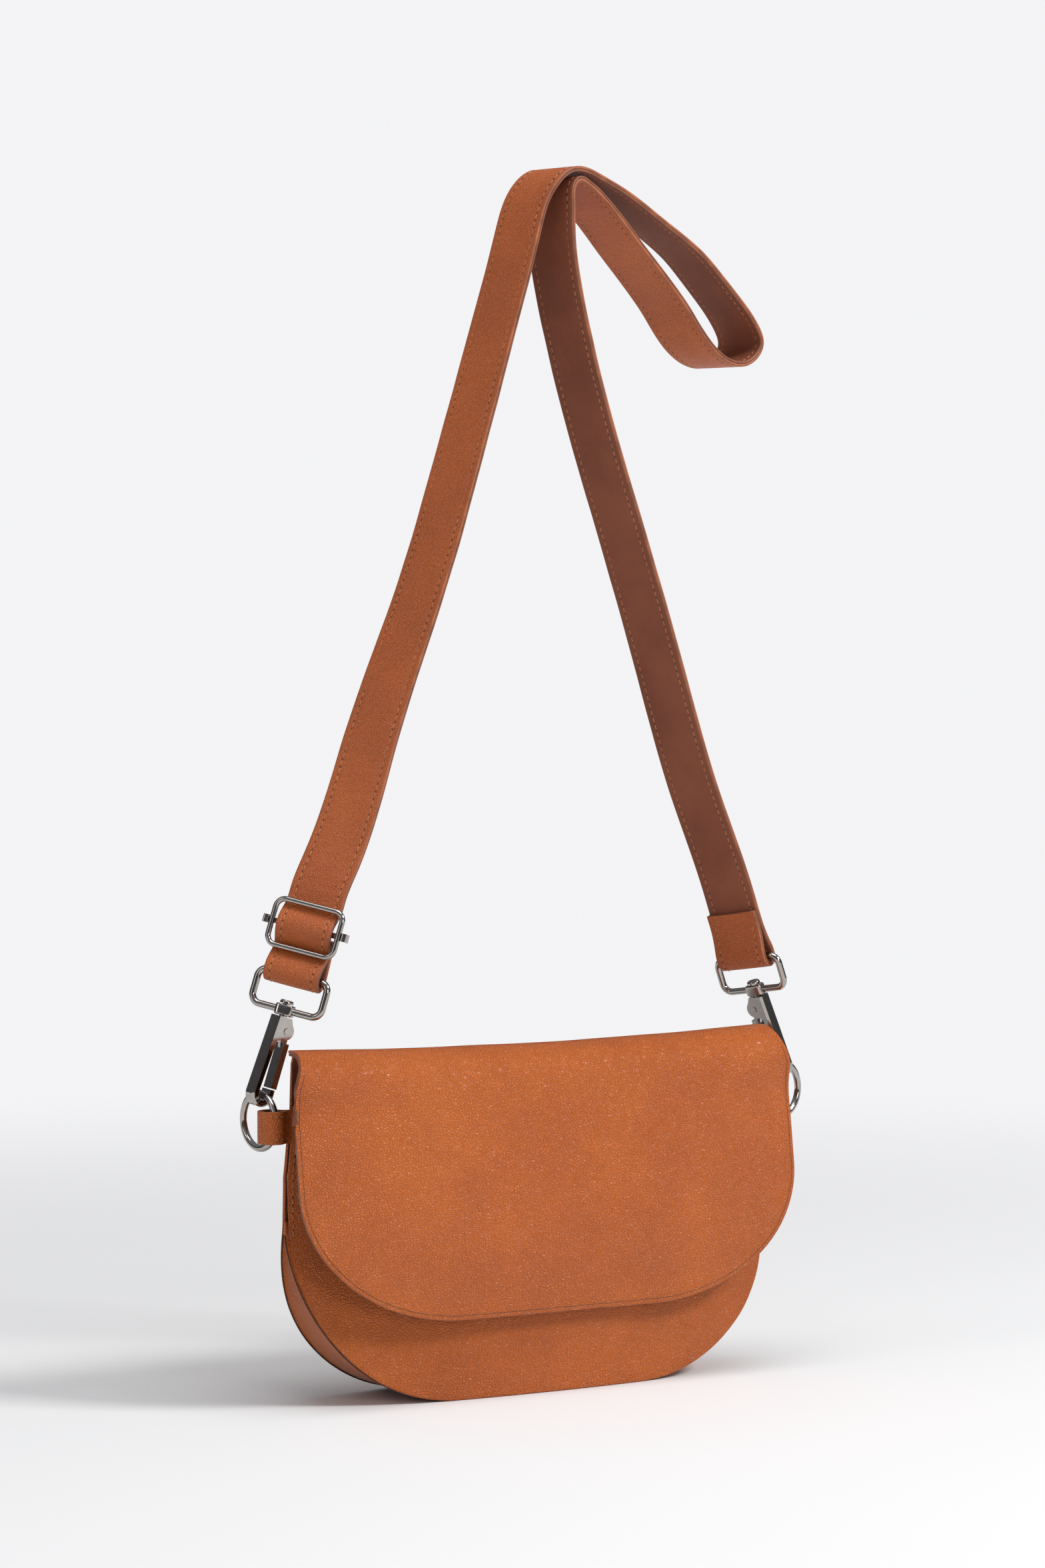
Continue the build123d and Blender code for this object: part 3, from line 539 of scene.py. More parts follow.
def column_shares(corner=26, base=30):
    """Columns across the bag: -1..0 round the left corner, 0..1 along the base, 1..2 round the right."""
    left = np.linspace(-1, 0, corner, endpoint=False)
    middle = np.linspace(0, 1, base, endpoint=False)
    return np.concatenate([left, middle, np.linspace(1, 2, corner + 1)])


def lower_edge(share, base_half, run, rise, top_z):
    """X and Z of the rounded lower outline at each column; the corners are quarter ellipses."""
    angle = np.clip(np.where(share < 0, -share, share - 1), 0, 1) * math.pi / 2
    straight = -base_half + 2 * base_half * np.clip(share, 0, 1)
    corner = base_half + run * np.sin(angle)
    x = np.where(share < 0, -corner, np.where(share > 1, corner, straight))
    return x, top_z - rise * np.cos(angle)


def draw_in(z):
    """How much the sides draw in towards the mouth."""
    return np.interp(z, [WAIST_Z, MOUTH_Z], [1.0, TOP_HALF_WIDTH / HALF_WIDTH])


def panel_grid(way, inset, edge_inset, top):
    """Half of the bag's shell: way -1 for the front, +1 for the back. Its rows are closer near the base."""
    share = column_shares()
    x0, z0 = lower_edge(share, BASE_HALF, CORNER_R - edge_inset, CORNER_R - edge_inset, CORNER_R)
    t = np.linspace(0, 1, 46)[:, None] ** 1.15
    z = z0[None, :] + (top - z0[None, :]) * t
    x = x0[None, :] * draw_in(z)
    y = way * (half_depth(x / draw_in(z), z) - inset)
    return np.stack([x, y, z], 2)


def rumple(g, amount, size, seed):
    """Push a grid along its normals with slow noise, so that leather looks hand-worked."""
    n = grid_normals(g)
    d = wander(g, size, seed) * amount + wander(g, size * 0.38, seed + 1) * amount * 0.35
    return g + n * d[..., None]


# ---------------------------------------------------------------- back, fold and flap in one hide
def flap_profile():
    """The flap's outer side profile: its y, its z and the length along it."""
    p, t, _ = cubic([(0.0, y, z) for y, z in FLAP_INNER], np.linspace(0, 1, 200))
    outward = np.stack([t[:, 0] * 0, t[:, 2], -t[:, 1]], 1)
    outer = p + outward * (FLAP_LINING_T + FLAP_OUTER_T)
    return outer[:, 1], outer[:, 2], lengths_along(outer)


PROFILE_Y, PROFILE_Z, PROFILE_S = flap_profile()
BACK_ROWS, FOLD_ROWS, FLAP_ROWS = 44, 7, 74
FOLD_START = BACK_ROWS + FOLD_ROWS  # the flap's first row, past the fold
LINING_START = FOLD_START - 5


def dip(x):
    """The top sinks a little in the middle."""
    return DIP_DEPTH * (1 - (x / DIP_HALF) ** 2)


def hide_grid():
    """The hide's outer face, in rows up the back, over the fold and down the flap."""
    share = column_shares(28, 34)
    xb, zb = lower_edge(share, BASE_HALF, CORNER_R - SEAM_INSET, CORNER_R - SEAM_INSET, CORNER_R)
    xf, zf = lower_edge(share, FLAP_BASE_HALF, FLAP_RUN, FLAP_CORNER_Z - FLAP_BOTTOM_Z, FLAP_CORNER_Z)
    back_top = BACK_TOP_Z - 0.6
    rows = []
    for t in np.linspace(0, 1, BACK_ROWS) ** 0.9:
        z = zb + (back_top - zb) * t
        x = xb * draw_in(z)
        rows.append(np.stack([x, half_depth(x / draw_in(z), z), z], 1))
    top_x = xb * TOP_HALF_WIDTH / HALF_WIDTH
    ridge_x = xf * RIDGE_HALF / FLAP_HALF
    back_y = rows[-1][:, 1]
    base_y = back_y[30]  # just past the left corner
    arc, _, _ = cubic([(0, base_y, back_top), (0, -1.6, RIDGE_Z), (0, PROFILE_Y[0], PROFILE_Z[0])],
                      np.linspace(0, 1, FOLD_ROWS + 2)[1:-1])
    for k, point in enumerate(arc):
        w = (k + 1) / (FOLD_ROWS + 1)
        x = top_x * (1 - w) + ridge_x * w
        y = np.full_like(x, point[1]) + (back_y - base_y) * (1 - w)
        rows.append(np.stack([x, y, np.full_like(x, point[2])], 1))
    end = np.interp(-zf, -PROFILE_Z, PROFILE_S)
    for t in np.linspace(0, 1, FLAP_ROWS) ** 1.12:
        s = end * t
        y, z = np.interp(s, PROFILE_S, PROFILE_Y), np.interp(s, PROFILE_S, PROFILE_Z)
        x = xf * np.interp(z, [SHOULDER_Z, RIDGE_Z], [1.0, RIDGE_HALF / FLAP_HALF])
        rows.append(np.stack([x, y, z], 1))
    g = np.array(rows)
    g[..., 2] -= dip(g[..., 0]) * smooth_step(g[..., 2], 118, 148)
    flap = smooth_step(np.arange(len(g)), FOLD_START, FOLD_START + 10)[:, None]
    below_roll = 1 - smooth_step(g[..., 2], 120, 143)
    g[..., 1] += FLAP_WRAP * np.abs(g[..., 0] / FLAP_HALF) ** 5 * flap * below_roll
    away = np.hypot(g[..., 0], g[..., 2] - SNAP_Z)
    calm = smooth_step(away, 9, 34)
    n = grid_normals(g)
    if n[20, 40, 1] < 0:
        n = -n
    slow = wander(g, 62.0, 3) * 0.9 + wander(g, 23.0, 5) * 0.32
    return g + n * (slow * (0.55 + 0.45 * flap) * (0.15 + 0.85 * calm))[..., None]


HIDE = hide_grid()


def hide_rim(ij):
    """The flap's rim is a cut edge, and the back's is turned over."""
    return 2 if ij[0] > FOLD_START - 4 else 0


hide = sheet("back_and_flap_leather", HIDE, FLAP_OUTER_T, 0.38, [COGNAC, MAUVE, EDGE], (0, -0.5, 0.8),
             rim_material=hide_rim)
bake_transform(hide)
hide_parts("back_panel", "flap_outer")

lining_normals = grid_normals(HIDE)[LINING_START:]
if lining_normals[-10, 40, 1] > 0:
    lining_normals = -lining_normals
lining_face = HIDE[LINING_START:] - lining_normals * (FLAP_OUTER_T + 0.03)
flap_lining = sheet("flap_lining_leather", lining_face, FLAP_LINING_T, 0.22, [DARK_EDGE, MAUVE, DARK_EDGE],
                    (0, -0.9, 0.1))
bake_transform(flap_lining)
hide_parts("flap_lining")


def flap_inset_line(inset):
    """A line parallel to the flap's free edge, found on the hide's own grid."""
    edge = [HIDE[i, 0] for i in range(FOLD_START + 6, len(HIDE))]
    edge += [HIDE[-1, j] for j in range(1, HIDE.shape[1] - 1)]
    edge += [HIDE[i, -1] for i in range(len(HIDE) - 1, FOLD_START + 5, -1)]
    edge = np.array(edge)
    edge = edge[np.concatenate([[True], np.linalg.norm(np.diff(edge, axis=0), axis=1) > 0.4])]
    along = unit(np.gradient(edge, axis=0))
    inner = np.stack([-along[:, 2], 0 * along[:, 0], along[:, 0]], 1)
    centre = np.array([0, -25.0, 110.0])
    inner *= np.sign((inner * (centre - edge)).sum(1))[:, None]
    return edge + unit(inner) * inset


def on_flap(points, lift=0.0):
    """Move points along Y onto the flap's outer face."""
    rows = HIDE[FOLD_START + 4:]
    flat = rows.reshape(-1, 3)
    normals = grid_normals(HIDE)[FOLD_START + 4:].reshape(-1, 3)
    normals = normals * -np.sign(normals[:, 1:2])
    placed, facing = [], []
    for p in points:
        d = (flat[:, 0] - p[0]) ** 2 + (flat[:, 2] - p[2]) ** 2
        near = np.argsort(d)[:4]
        w = 1 / (d[near] + 0.02)
        w /= w.sum()
        slope = (flat[near] * w[:, None]).sum(0)
        n = unit((normals[near] * w[:, None]).sum(0))
        y = slope[1] - (n[0] * (p[0] - slope[0]) + n[2] * (p[2] - slope[2])) / n[1]
        placed.append(np.array([p[0], y, p[2]]) + n * lift)
        facing.append(n)
    return np.array(placed), np.array(facing)


# A thin dark tube 1.7 mm inside the flap's free edge: painted shade in the crease there.
crease_path, _ = on_flap(flap_inset_line(1.7), -0.02)
crease_path = crease_path[crease_path[:, 2] < 141]
crease = tube("flap_edge_line", crease_path, 0.12, GROOVE_SHADE, sides=8)
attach(crease, "flap")

# ---------------------------------------------------------------- front panel and gusset
front_grid = rumple(panel_grid(-1, 0.0, SEAM_INSET, MOUTH_Z - SEAM_INSET), 0.45, 55.0, 9)
front = sheet("front_panel_leather", front_grid, PANEL_T, 0.9, [COGNAC, CLOTH, COGNAC], (0, -1, 0), 8)
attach(front, "bag")
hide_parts("front_panel")


def gusset_path(inset):
    """X and Z along the gusset, from the left seam's end to the right's."""
    side = np.linspace(77.5, CORNER_R, 8, endpoint=False)
    angle = np.linspace(math.pi / 2, 0, 40, endpoint=False)
    base = np.linspace(-BASE_HALF, 0, 24)
    corner = -(BASE_HALF + (CORNER_R - inset) * np.sin(angle))
    x = np.concatenate([np.full(8, -HALF_WIDTH + inset), corner, base])
    z = np.concatenate([side, CORNER_R - (CORNER_R - inset) * np.cos(angle), np.full(24, inset)])
    x = np.concatenate([x, -x[-2::-1]])
    z = np.concatenate([z, z[-2::-1]])
    return x, z


def gusset_grid(inset, gap):
    """The gusset's outer face: it sags inwards between the panels and puckers along their seams."""
    x, z = gusset_path(inset)
    v = np.linspace(-1, 1, 19)[:, None]
    half = np.maximum(half_depth(x, z) - gap, 0.12)
    y = v * half[None, :]
    g = np.stack([np.broadcast_to(x, y.shape), y, np.broadcast_to(z, y.shape)], 2).copy()
    along = unit(np.stack([np.gradient(x), np.gradient(z)], 1))
    out = np.stack([along[:, 1], 0 * x, -along[:, 0]], 1)
    out *= np.sign((out[:, 0] * x + out[:, 2] * (z - 60)))[:, None]
    wide = np.clip(half / 20, 0, 1)
    rise = smooth_step(z, 2, 18)
    sag = (1 - v**2) * wide * rise * 1.1
    pucker = wander(g * np.array([1, 0.25, 1]), 5.5, 21) * 0.28 * (np.abs(v) ** 3) * rise
    return g - out[None, :, :] * (sag - pucker)[..., None]


gusset_face = gusset_grid(0.45, PANEL_T - 0.1)
gusset = sheet("bottom_gusset_leather", gusset_face, PANEL_T, 0.3, [COGNAC, CLOTH, COGNAC], (0, 0, -1))
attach(gusset, "bag")
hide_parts("bottom_gusset")

# Dark tubes just inside the panels along their lower outline: painted shade in the groove where the gusset
# turns in.
seam_share = column_shares(40, 40)
seam_x, seam_z = lower_edge(seam_share, BASE_HALF, CORNER_R - 0.15, CORNER_R - 0.15, CORNER_R)
groove_shade_parts = []
for way in (-1, 1):
    seam_y = way * (half_depth(seam_x, seam_z) - PANEL_T * 0.97)
    groove_shade_parts.append(tube("gusset_seam_lines", np.stack([seam_x, seam_y, seam_z], 1), 0.30, GROOVE_SHADE, sides=8))

# ---------------------------------------------------------------- lining and pocket
ALL_CLOTH = [CLOTH, CLOTH, CLOTH]
front_face = rumple(panel_grid(-1, PANEL_T + 0.12, 3.0, MOUTH_Z - 2.4), 0.3, 40.0, 31)
front_lining = sheet("lining_front", front_face, LINING_T, LINING_RIM, ALL_CLOTH, (0, -1, 0))
back_face = rumple(panel_grid(1, PANEL_T + 1.0, 3.0, LINING_BACK_TOP), 0.3, 40.0, 33)
back_lining = sheet("lining_back", back_face, LINING_T, LINING_RIM, ALL_CLOTH, (0, 1, 0))
floor_face = gusset_grid(2.5, PANEL_T + 0.25)
floor_lining = sheet("lining_bottom", floor_face, LINING_T, LINING_RIM, ALL_CLOTH, (0, 0, -1))


def join(first, *others):
    """Make one object of several, and give the first one back."""
    with bpy.context.temp_override(active_object=first, selected_editable_objects=[first, *others]):
        bpy.ops.object.join()
    return first


seam_groove_shade = join(*groove_shade_parts)
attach(seam_groove_shade, "bag")
front_lining = join(front_lining, back_lining, floor_lining)
front_lining.name = "lining_cloth_bag"
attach(front_lining, "bag")
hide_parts("lining")


POCKET_HALF, POCKET_CORNER = 47.5, 9.0


def pocket_grid(low, high, inset):
    """A flat piece on the back lining. Only the pocket, which starts below 60 mm, has round lower corners."""
    x = np.linspace(-POCKET_HALF, POCKET_HALF, 50)[None, :]
    z = np.linspace(low, high, 30)[:, None]
    past = np.clip((np.abs(x) - POCKET_HALF + POCKET_CORNER) / POCKET_CORNER, 0, 1)
    corner = POCKET_CORNER * (1 - np.sqrt(np.clip(1 - past**2, 0, 1)))
    z = np.broadcast_to(z, (30, 50)) + corner * (1 - (z - low) / (high - low)) * (low < 60)
    x = np.broadcast_to(x, z.shape)
    return np.stack([x, half_depth(x, z) - inset, z], 2)


pocket_face = pocket_grid(42.0, 95.6, PANEL_T + 0.9 + 0.75)
pocket = sheet("pocket_cloth", pocket_face, 0.45, 0.2, ALL_CLOTH, (0, 1, 0))
hem_face = pocket_grid(88.5, 95.8, PANEL_T + 0.9 + 1.25)
hem = sheet("pocket_hem", hem_face, 0.4, 0.2, [MAUVE, MAUVE, MAUVE], (0, 1, 0))
pocket_rows = []
for line in (pocket_face[2:, 2], pocket_face[2, 2:-2], pocket_face[2:, -3]):
    line = line - np.array([0, 0.55, 0])
    pocket_rows.append(row_of(line, np.tile([0, -1.0, 0], (len(line), 1)), 3.0))
pocket_thread = stitches("pocket_stitches", pocket_rows, 2.2, 0.22, 0.0)
pocket = join(pocket, hem)
for piece in (pocket, pocket_thread):
    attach(piece, "bag")
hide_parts("inner_pocket")


# ---------------------------------------------------------------- side seams
def seam_row(way, sign):
    """Stitches down one side seam, on the front (way -1) or back (way +1) face."""
    z = np.linspace(122, 71, 60)
    x = sign * (HALF_WIDTH * draw_in(z) - 2.9)
    y = way * (half_depth(x / draw_in(z), z) + 0.10)
    points = np.stack([x, y, z], 1)
    return row_of(points, np.tile([0, float(way), 0], (60, 1)), 3.4)


seam_rows = [seam_row(way, sign) for way in (-1, 1) for sign in (-1, 1)]
seams = stitches("side_seam_stitches", seam_rows, 2.5, 0.30)
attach(seams, "bag")


# ---------------------------------------------------------------- tabs and rings
def tab(side, eye, way):
    """A leather tab folded round a ring's wire: eye is the fold's middle, way is -1 left and +1 right."""
    node = f"{side}_tab"
    low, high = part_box(node)
    z_low, z_high = low.z * 1000, high.z * 1000
    angles = np.radians([-72, -100, -128, -156, -184, -212, -240, -268, -292])
    path = [(way * 112.6, -1.25, 0), (way * 115.6, -1.65, 0), (way * 117.6, eye[1] * 0.4 - 3.4, 0)]
    path += [(eye[0] - way * TAB_FOLD_R * math.cos(a), eye[1] + TAB_FOLD_R * math.sin(a), 0) for a in angles]
    path += [(way * 117.6, eye[1] * 0.4 + 3.4, 0), (way * 115.6, 1.65, 0), (way * 112.6, 1.25, 0)]
    p, _, _ = cubic(path, np.linspace(0, 1, 70))
    rim = 0.35
    z = np.linspace(z_low + rim, z_high - rim, 12)
    g = np.stack(np.broadcast_arrays(p[:, :1], p[:, 1:2], z[None, :]), 2)
    made = sheet(f"{side}_tab_leather", g, TAB_T, rim, [COGNAC, MAUVE, EDGE], (way, 0, 0))
    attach(made, "bag")
    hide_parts(node)
    rows = []
    for height in (z_low + TAB_STITCH_INSET, z_high - TAB_STITCH_INSET):
        for part in (p[4:22], p[-22:-4]):
            normals = np.tile([0, np.sign(part[:, 1].mean()), 0], (len(part), 1))
            line = part.copy()
            line[:, 2] = height
            rows.append(row_of(line, normals, 2.7, 0.3))
    thread = stitches(f"{side}_tab_stitches", rows, 2.0, 0.26, 0.02)
    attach(thread, "bag")


tab("left", (-121.7, 0.95), -1)
tab("right", (123.0, -0.7), 1)

# Each ring's place in its tab, and the way it hangs out of it.
for side, pivot, azimuth in (("left", (-121.3, -1.5), 99.0), ("right", (120.7, -1.5), 19.0)):
    out = np.array([math.cos(math.radians(azimuth)), math.sin(math.radians(azimuth)), 0])
    centre = np.array([pivot[0], pivot[1], RING_Z]) + out * RING_R
    turn = np.linspace(0, 2 * math.pi, 120, endpoint=False)
    path = centre + RING_R * (np.cos(turn)[:, None] * out + np.sin(turn)[:, None] * np.array([0, 0, 1.0]))
    ring = tube(f"{side}_ring_wire", path, RING_WIRE_R, METAL, closed=True, sides=28)
    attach(ring, f"{side}_ring_body")
    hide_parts(f"{side}_ring")


# ---------------------------------------------------------------- strap
def level_direction(azimuth):
    """A level direction, turned from straight ahead (-Y) towards +X."""
    a = math.radians(azimuth)
    return np.array([math.sin(a), -math.cos(a), 0.0])


def square_to(run, direction):
    """The part of a direction that is square to the run."""
    return unit(direction - run * np.dot(direction, run))


def end_frame(bar, run, azimuth):
    """A strap end at its loop's bar: the place, then the ways across, along and out of the strap."""
    run = unit(run)
    width = square_to(run, level_direction(azimuth))
    return np.array(bar, float), width, run, np.cross(width, run)


LEFT = end_frame((-108.0, 7.0, 179.3), (0.30, -0.02, 0.954), 42.0)
RIGHT = end_frame((112.4, 2.0, 178.3), (-0.33, 0.0, 0.944), 26.0)
# The ends' routes round their bars, as (out, along), and between them the free run, listed point by point.
LEFT_END = [
    (-0.9, 17.5), (-2.6, 11.5), (-3.5, 4.5), (-3.6, 0.0), (-2.6, -2.5),
    (0.0, -3.6), (2.6, -2.5), (3.6, 0.0), (3.0, 4.2), (1.0, 7.8), (0.1, 10.6),
    (1.2, 13.4), (3.2, 16.3), (4.3, 19.8), (3.6, 23.4), (1.6, 26.6), (0.0, 30.0), (-0.3, 36.0),
]
FREE_RUN = [
    (-91.5, 6.0, 226.0), (-72.7, 4.0, 280.0), (-51.8, 3.0, 336.0), (-33.6, 2.0, 392.0),
    (-17.0, 1.0, 448.0), (-5.0, 0.3, 490.0), (1.0, 0.2, 507.0), (12.0, 0.4, 517.6),
    (28.0, 4.0, 516.0), (49.0, 9.3, 508.2), (70.0, 14.5, 497.8), (90.0, 19.5, 486.8),
    (109.0, 24.2, 471.0), (122.0, 27.5, 458.5), (126.2, 28.5, 449.5), (120.5, 27.3, 442.2),
    (107.5, 24.0, 440.3), (94.0, 20.5, 447.0), (80.0, 17.0, 461.8), (62.0, 12.5, 479.0),
    (44.0, 8.0, 495.2), (29.0, 4.0, 507.6), (20.5, 2.0, 512.9), (16.0, 0.9, 514.2),
    (12.6, 0.3, 511.6), (11.6, 0.0, 505.5), (12.2, 0.0, 487.0), (16.5, 0.3, 463.0),
    (28.0, 0.7, 421.0), (47.6, 1.2, 364.0), (66.8, 1.6, 307.0), (86.6, 2.0, 249.0),
]
RIGHT_END = [
    (1.0, 44.0), (1.4, 26.0), (1.45, 14.0), (2.6, 6.5), (3.6, 0.5), (2.6, -2.5),
    (0.0, -3.6), (-2.6, -2.5), (-3.6, 0.5), (-2.6, 6.5), (-1.45, 13.0), (-1.4, 21.5),
]
# The strap's twist: at each share of its length, the azimuth that its width points in.
TURNS = [
    (0.13, 33.0), (0.19, 24.0), (0.30, 19.0), (0.375, 17.0), (0.43, 8.0), (0.48, 14.0),
    (0.54, 24.0), (0.60, 21.0), (0.70, 19.0), (0.85, 23.0),
]


def strap_frames():
    """Places along the strap, with the ways across it and out of it, and the share of its length at each."""
    route = [LEFT[0] + LEFT[2] * s + LEFT[3] * n for n, s in LEFT_END]
    route += [np.array(p) for p in FREE_RUN]
    route += [RIGHT[0] + RIGHT[2] * s - RIGHT[3] * n for n, s in RIGHT_END]
    shares, here, last = [0.0], 0.0, 2999
    probe, _, length = cubic(route, np.linspace(0, 1, last + 1))
    while here < 1.0:
        z = probe[min(int(here * last), last), 2]
        # Short steps round the bars and middling ones at the peak.
        here += (0.7 if z < 222 else 1.6 if z > 430 else 3.0) / length
        shares.append(min(here, 1.0))
    shares = np.array(shares)
    p, run, _ = cubic(route, shares)
    keys = [(0.08, LEFT[1])] + [(u, level_direction(a)) for u, a in TURNS] + [(0.95, RIGHT[1])]
    at = np.array([k[0] for k in keys])
    directions = np.array([k[1] for k in keys])
    wide = np.stack([np.interp(shares, at, directions[:, c]) for c in range(3)], 1)
    wide = unit(wide - run * (wide * run).sum(1)[:, None])
    return p, wide, np.cross(wide, run), shares


S_P, S_WIDE, S_UP, S_SHARE = strap_frames()


def layer_section(low, high, face):
    """Cross-section of one strap layer as (across, out), with softly rounded edges and sewn-down lines."""
    r = 0.42
    pts = []
    for w in np.linspace(-STRAP_HALF + r, STRAP_HALF - r, 41):
        groove = 0.14 * math.exp(-((abs(w) - STRAP_STITCH) / 0.55) ** 2)
        crown = 0.10 * (1 - (w / STRAP_HALF) ** 2)
        pts.append((w, face * (groove - crown)))
    top = high if face < 0 else low
    other = low if face < 0 else high
    section = [(w, top + d) for w, d in pts]
    middle = (low + high) / 2
    half = math.copysign((high - low) / 2, top - other)
    for k in range(1, 6):
        a = math.pi * k / 6
        section.append((STRAP_HALF - r + (r + 0.05) * math.sin(a), middle + half * math.cos(a)))
    section.append((STRAP_HALF - r, other))
    section.append((-STRAP_HALF + r, other))
    for k in range(1, 6):
        a = math.pi * k / 6
        section.append((-STRAP_HALF + r - (r + 0.05) * math.sin(a), middle - half * math.cos(a)))
    return section


def strap_layer(name, low, high, face, material, edge):
    """One of the strap's two layers, its section swept along the strap with a slight ripple in its edges."""
    section = layer_section(low, high, face)
    on_edge = [abs(across) > STRAP_HALF - 0.43 for across, _ in section]
    m = len(section)
    ripple = wander(S_P, 16.0, 41) * 0.22 * smooth_step(S_P[:, 2], 225, 260)
    verts, faces, slots = [], [], []
    for p, w, u, r in zip(S_P, S_WIDE, S_UP, ripple):
        for across, out in section:
            bend = r * (across / STRAP_HALF) ** 2
            verts.append(p + w * across + u * (out + bend))
    for i in range(len(S_P) - 1):
        for k in range(m):
            q = (k + 1) % m
            faces.append((i * m + k, i * m + q, (i + 1) * m + q, (i + 1) * m + k))
            slots.append(1 if on_edge[k] and on_edge[q] else 0)
    faces += [tuple(range(m)), tuple(range((len(S_P) - 1) * m, len(S_P) * m))]
    slots += [1, 1]
    made = to_object(name, np.array(verts), faces, [material, edge], slots, 50)
    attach(made, "strap")
    return made


outer = strap_layer("strap_outer_leather", STRAP_SPLIT, STRAP_FACE, -1, STRAP_COGNAC, EDGE)
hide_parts("strap_outer")
inner = strap_layer("strap_lining_leather", -STRAP_FACE, STRAP_SPLIT, 1, MAUVE, DARK_EDGE)
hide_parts("strap_lining")


def strap_row(across, out):
    """Stitches along the strap, this far across it and out of it, up to just short of its ends."""
    pick = (S_SHARE >= 0.004) & (S_SHARE <= 0.996)
    p = S_P[pick] + S_WIDE[pick] * across + S_UP[pick] * out
    return row_of(p, S_UP[pick] * math.copysign(1, out), STRAP_PITCH)


rows = [strap_row(side * STRAP_STITCH, out) for side in (-1, 1) for out in (1.12, -1.12)]
# Two rows across the strap close its right end's fold.
for share in (0.9888, 0.9969):
    k = int(np.searchsorted(S_SHARE, share))
    for out in (1.14, -1.14):
        line = [S_P[k] + S_WIDE[k] * w + S_UP[k] * out for w in np.linspace(-9, 9, 20)]
        rows.append(row_of(line, np.tile(S_UP[k] * math.copysign(1, out), (20, 1)), 3.2))
thread = stitches("strap_stitches", rows, 2.55, 0.30, 0.14)
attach(thread, "strap")

# ---------------------------------------------------------------- swivel loops and slider
def wire_path(place, width, height, corner, rise, out=0.0):
    """A rounded rectangle in a strap end's plane, or out of it; its lower side is at rise."""
    bar, wide, run, front = place
    flat = []
    for way_x, way_y, start in ((1, 1, 0), (-1, 1, 90), (-1, -1, 180), (1, -1, 270)):
        for a in np.radians(start + np.linspace(0, 90, 14)):
            flat.append((way_x * (width / 2 - corner) + corner * math.cos(a),
                         rise + height / 2 + way_y * (height / 2 - corner) + corner * math.sin(a)))
    flat = np.array(flat + flat[:1])
    s = lengths_along(flat)
    at = np.unique(np.concatenate([s[:-1], np.arange(0, s[-1], 1.1)]))
    at = at[np.concatenate([[True], np.diff(at) > 0.12])]
    x, y = np.interp(at, s, flat[:, 0]), np.interp(at, s, flat[:, 1])
    return bar + x[:, None] * wide + y[:, None] * run + out * front


def boss(name, centre, wide, axis):
    """The block on a loop's lower bar, bored through for the swivel post."""
    wide = square_to(axis, wide)
    front = np.cross(wide, axis)
    half_wide, half_front, bore = 4.0, 2.7, 1.66
    # Round its section: how much wider, how high, and whether on the outside (1) or in the bore (0).
    lower = [
        (0.0, -2.25, 0), (0.15, -2.4, 0), (-0.75, -2.4, 1),
        (-0.3, -2.28, 1), (-0.06, -1.95, 1), (0.0, -1.5, 1),
    ]
    steps = lower + [(grow, -height, outer) for grow, height, outer in reversed(lower)]
    turns = np.linspace(0, 2 * math.pi, 72, endpoint=False)
    verts = []
    for grow, height, outer in steps:
        for a in turns:
            c, d = math.cos(a), math.sin(a)
            reach = (abs(c / half_wide) ** 5 + abs(d / half_front) ** 5) ** -0.2 if outer else bore
            verts.append(centre + (wide * c + front * d) * (reach + grow) + axis * height)
    n, m = len(steps), len(turns)
    faces = [(i * m + k, i * m + (k + 1) % m, (i + 1) % n * m + (k + 1) % m, (i + 1) % n * m + k)
             for i in range(n) for k in range(m)]
    return to_object(name, np.array(verts), faces, [METAL], [0] * len(faces), 50)


# The ways that the hooks' swivel posts point.
POST_AXES = {joint["name"]: np.array(joint["axis"]) for joint in frame["joints"] if "swivel" in joint["name"]}
for side, place in (("left", LEFT), ("right", RIGHT)):
    path = wire_path(place, LOOP_WIDTH, LOOP_HEIGHT, WIRE_CORNER, -LOOP_HEIGHT)
    wire = tube(f"{side}_loop_wire", path, LOOP_WIRE_R, METAL, closed=True, sides=28)
    low_bar = place[0] - place[2] * LOOP_HEIGHT
    wire = join(wire, boss(f"{side}_loop_boss", low_bar, place[1], POST_AXES[f"{side}_swivel"]))
    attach(wire, "strap")
    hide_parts(f"{side}_loop")

slider_path = wire_path(LEFT, SLIDER_WIDTH, SLIDER_HEIGHT, WIRE_CORNER, SLIDER_RISE, SLIDER_OUT)
slider = tube("slider_wire", slider_path, SLIDER_WIRE_R, METAL, closed=True, sides=28)
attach(slider, "strap")
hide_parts("slider_frame")

# ---------------------------------------------------------------- metal parts kept from the frame
REPLACED_METAL = ("left_ring", "right_ring", "left_loop", "right_loop", "slider_frame")
for name, node in NODES.items():
    if node.get("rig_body") is None or name in REPLACED_METAL:
        continue
    plain = SPRING if "spring" in name else METAL
    if any(word in name for word in ("hook_body", "lever", "post", "slider", "snap")):
        node.data.materials.clear()
        node.data.materials.append(plain)
        node.data.shade_smooth()
        node.data.set_sharp_from_angle(angle=math.radians(32))
        if "hook_body" in name or name in ("left_lever", "right_lever", "slider_bar"):
            bevel = node.modifiers.new("soft_edges", "BEVEL")
            bevel.width = 0.0007 if "hook_body" in name else 0.0004
            bevel.segments = 3
            bevel.limit_method = "ANGLE"
            bevel.angle_limit = math.radians(38)
            bevel.harden_normals = True

# ---------------------------------------------------------------- studio
FLOOR_HALF = 9000.0
floor_corners = [(x * FLOOR_HALF, y * FLOOR_HALF, 0) for x, y in ((-1, -1), (1, -1), (1, 1), (-1, 1))]
floor = to_object("studio_floor", floor_corners, [(0, 1, 2, 3)], [studio_floor()], [0])

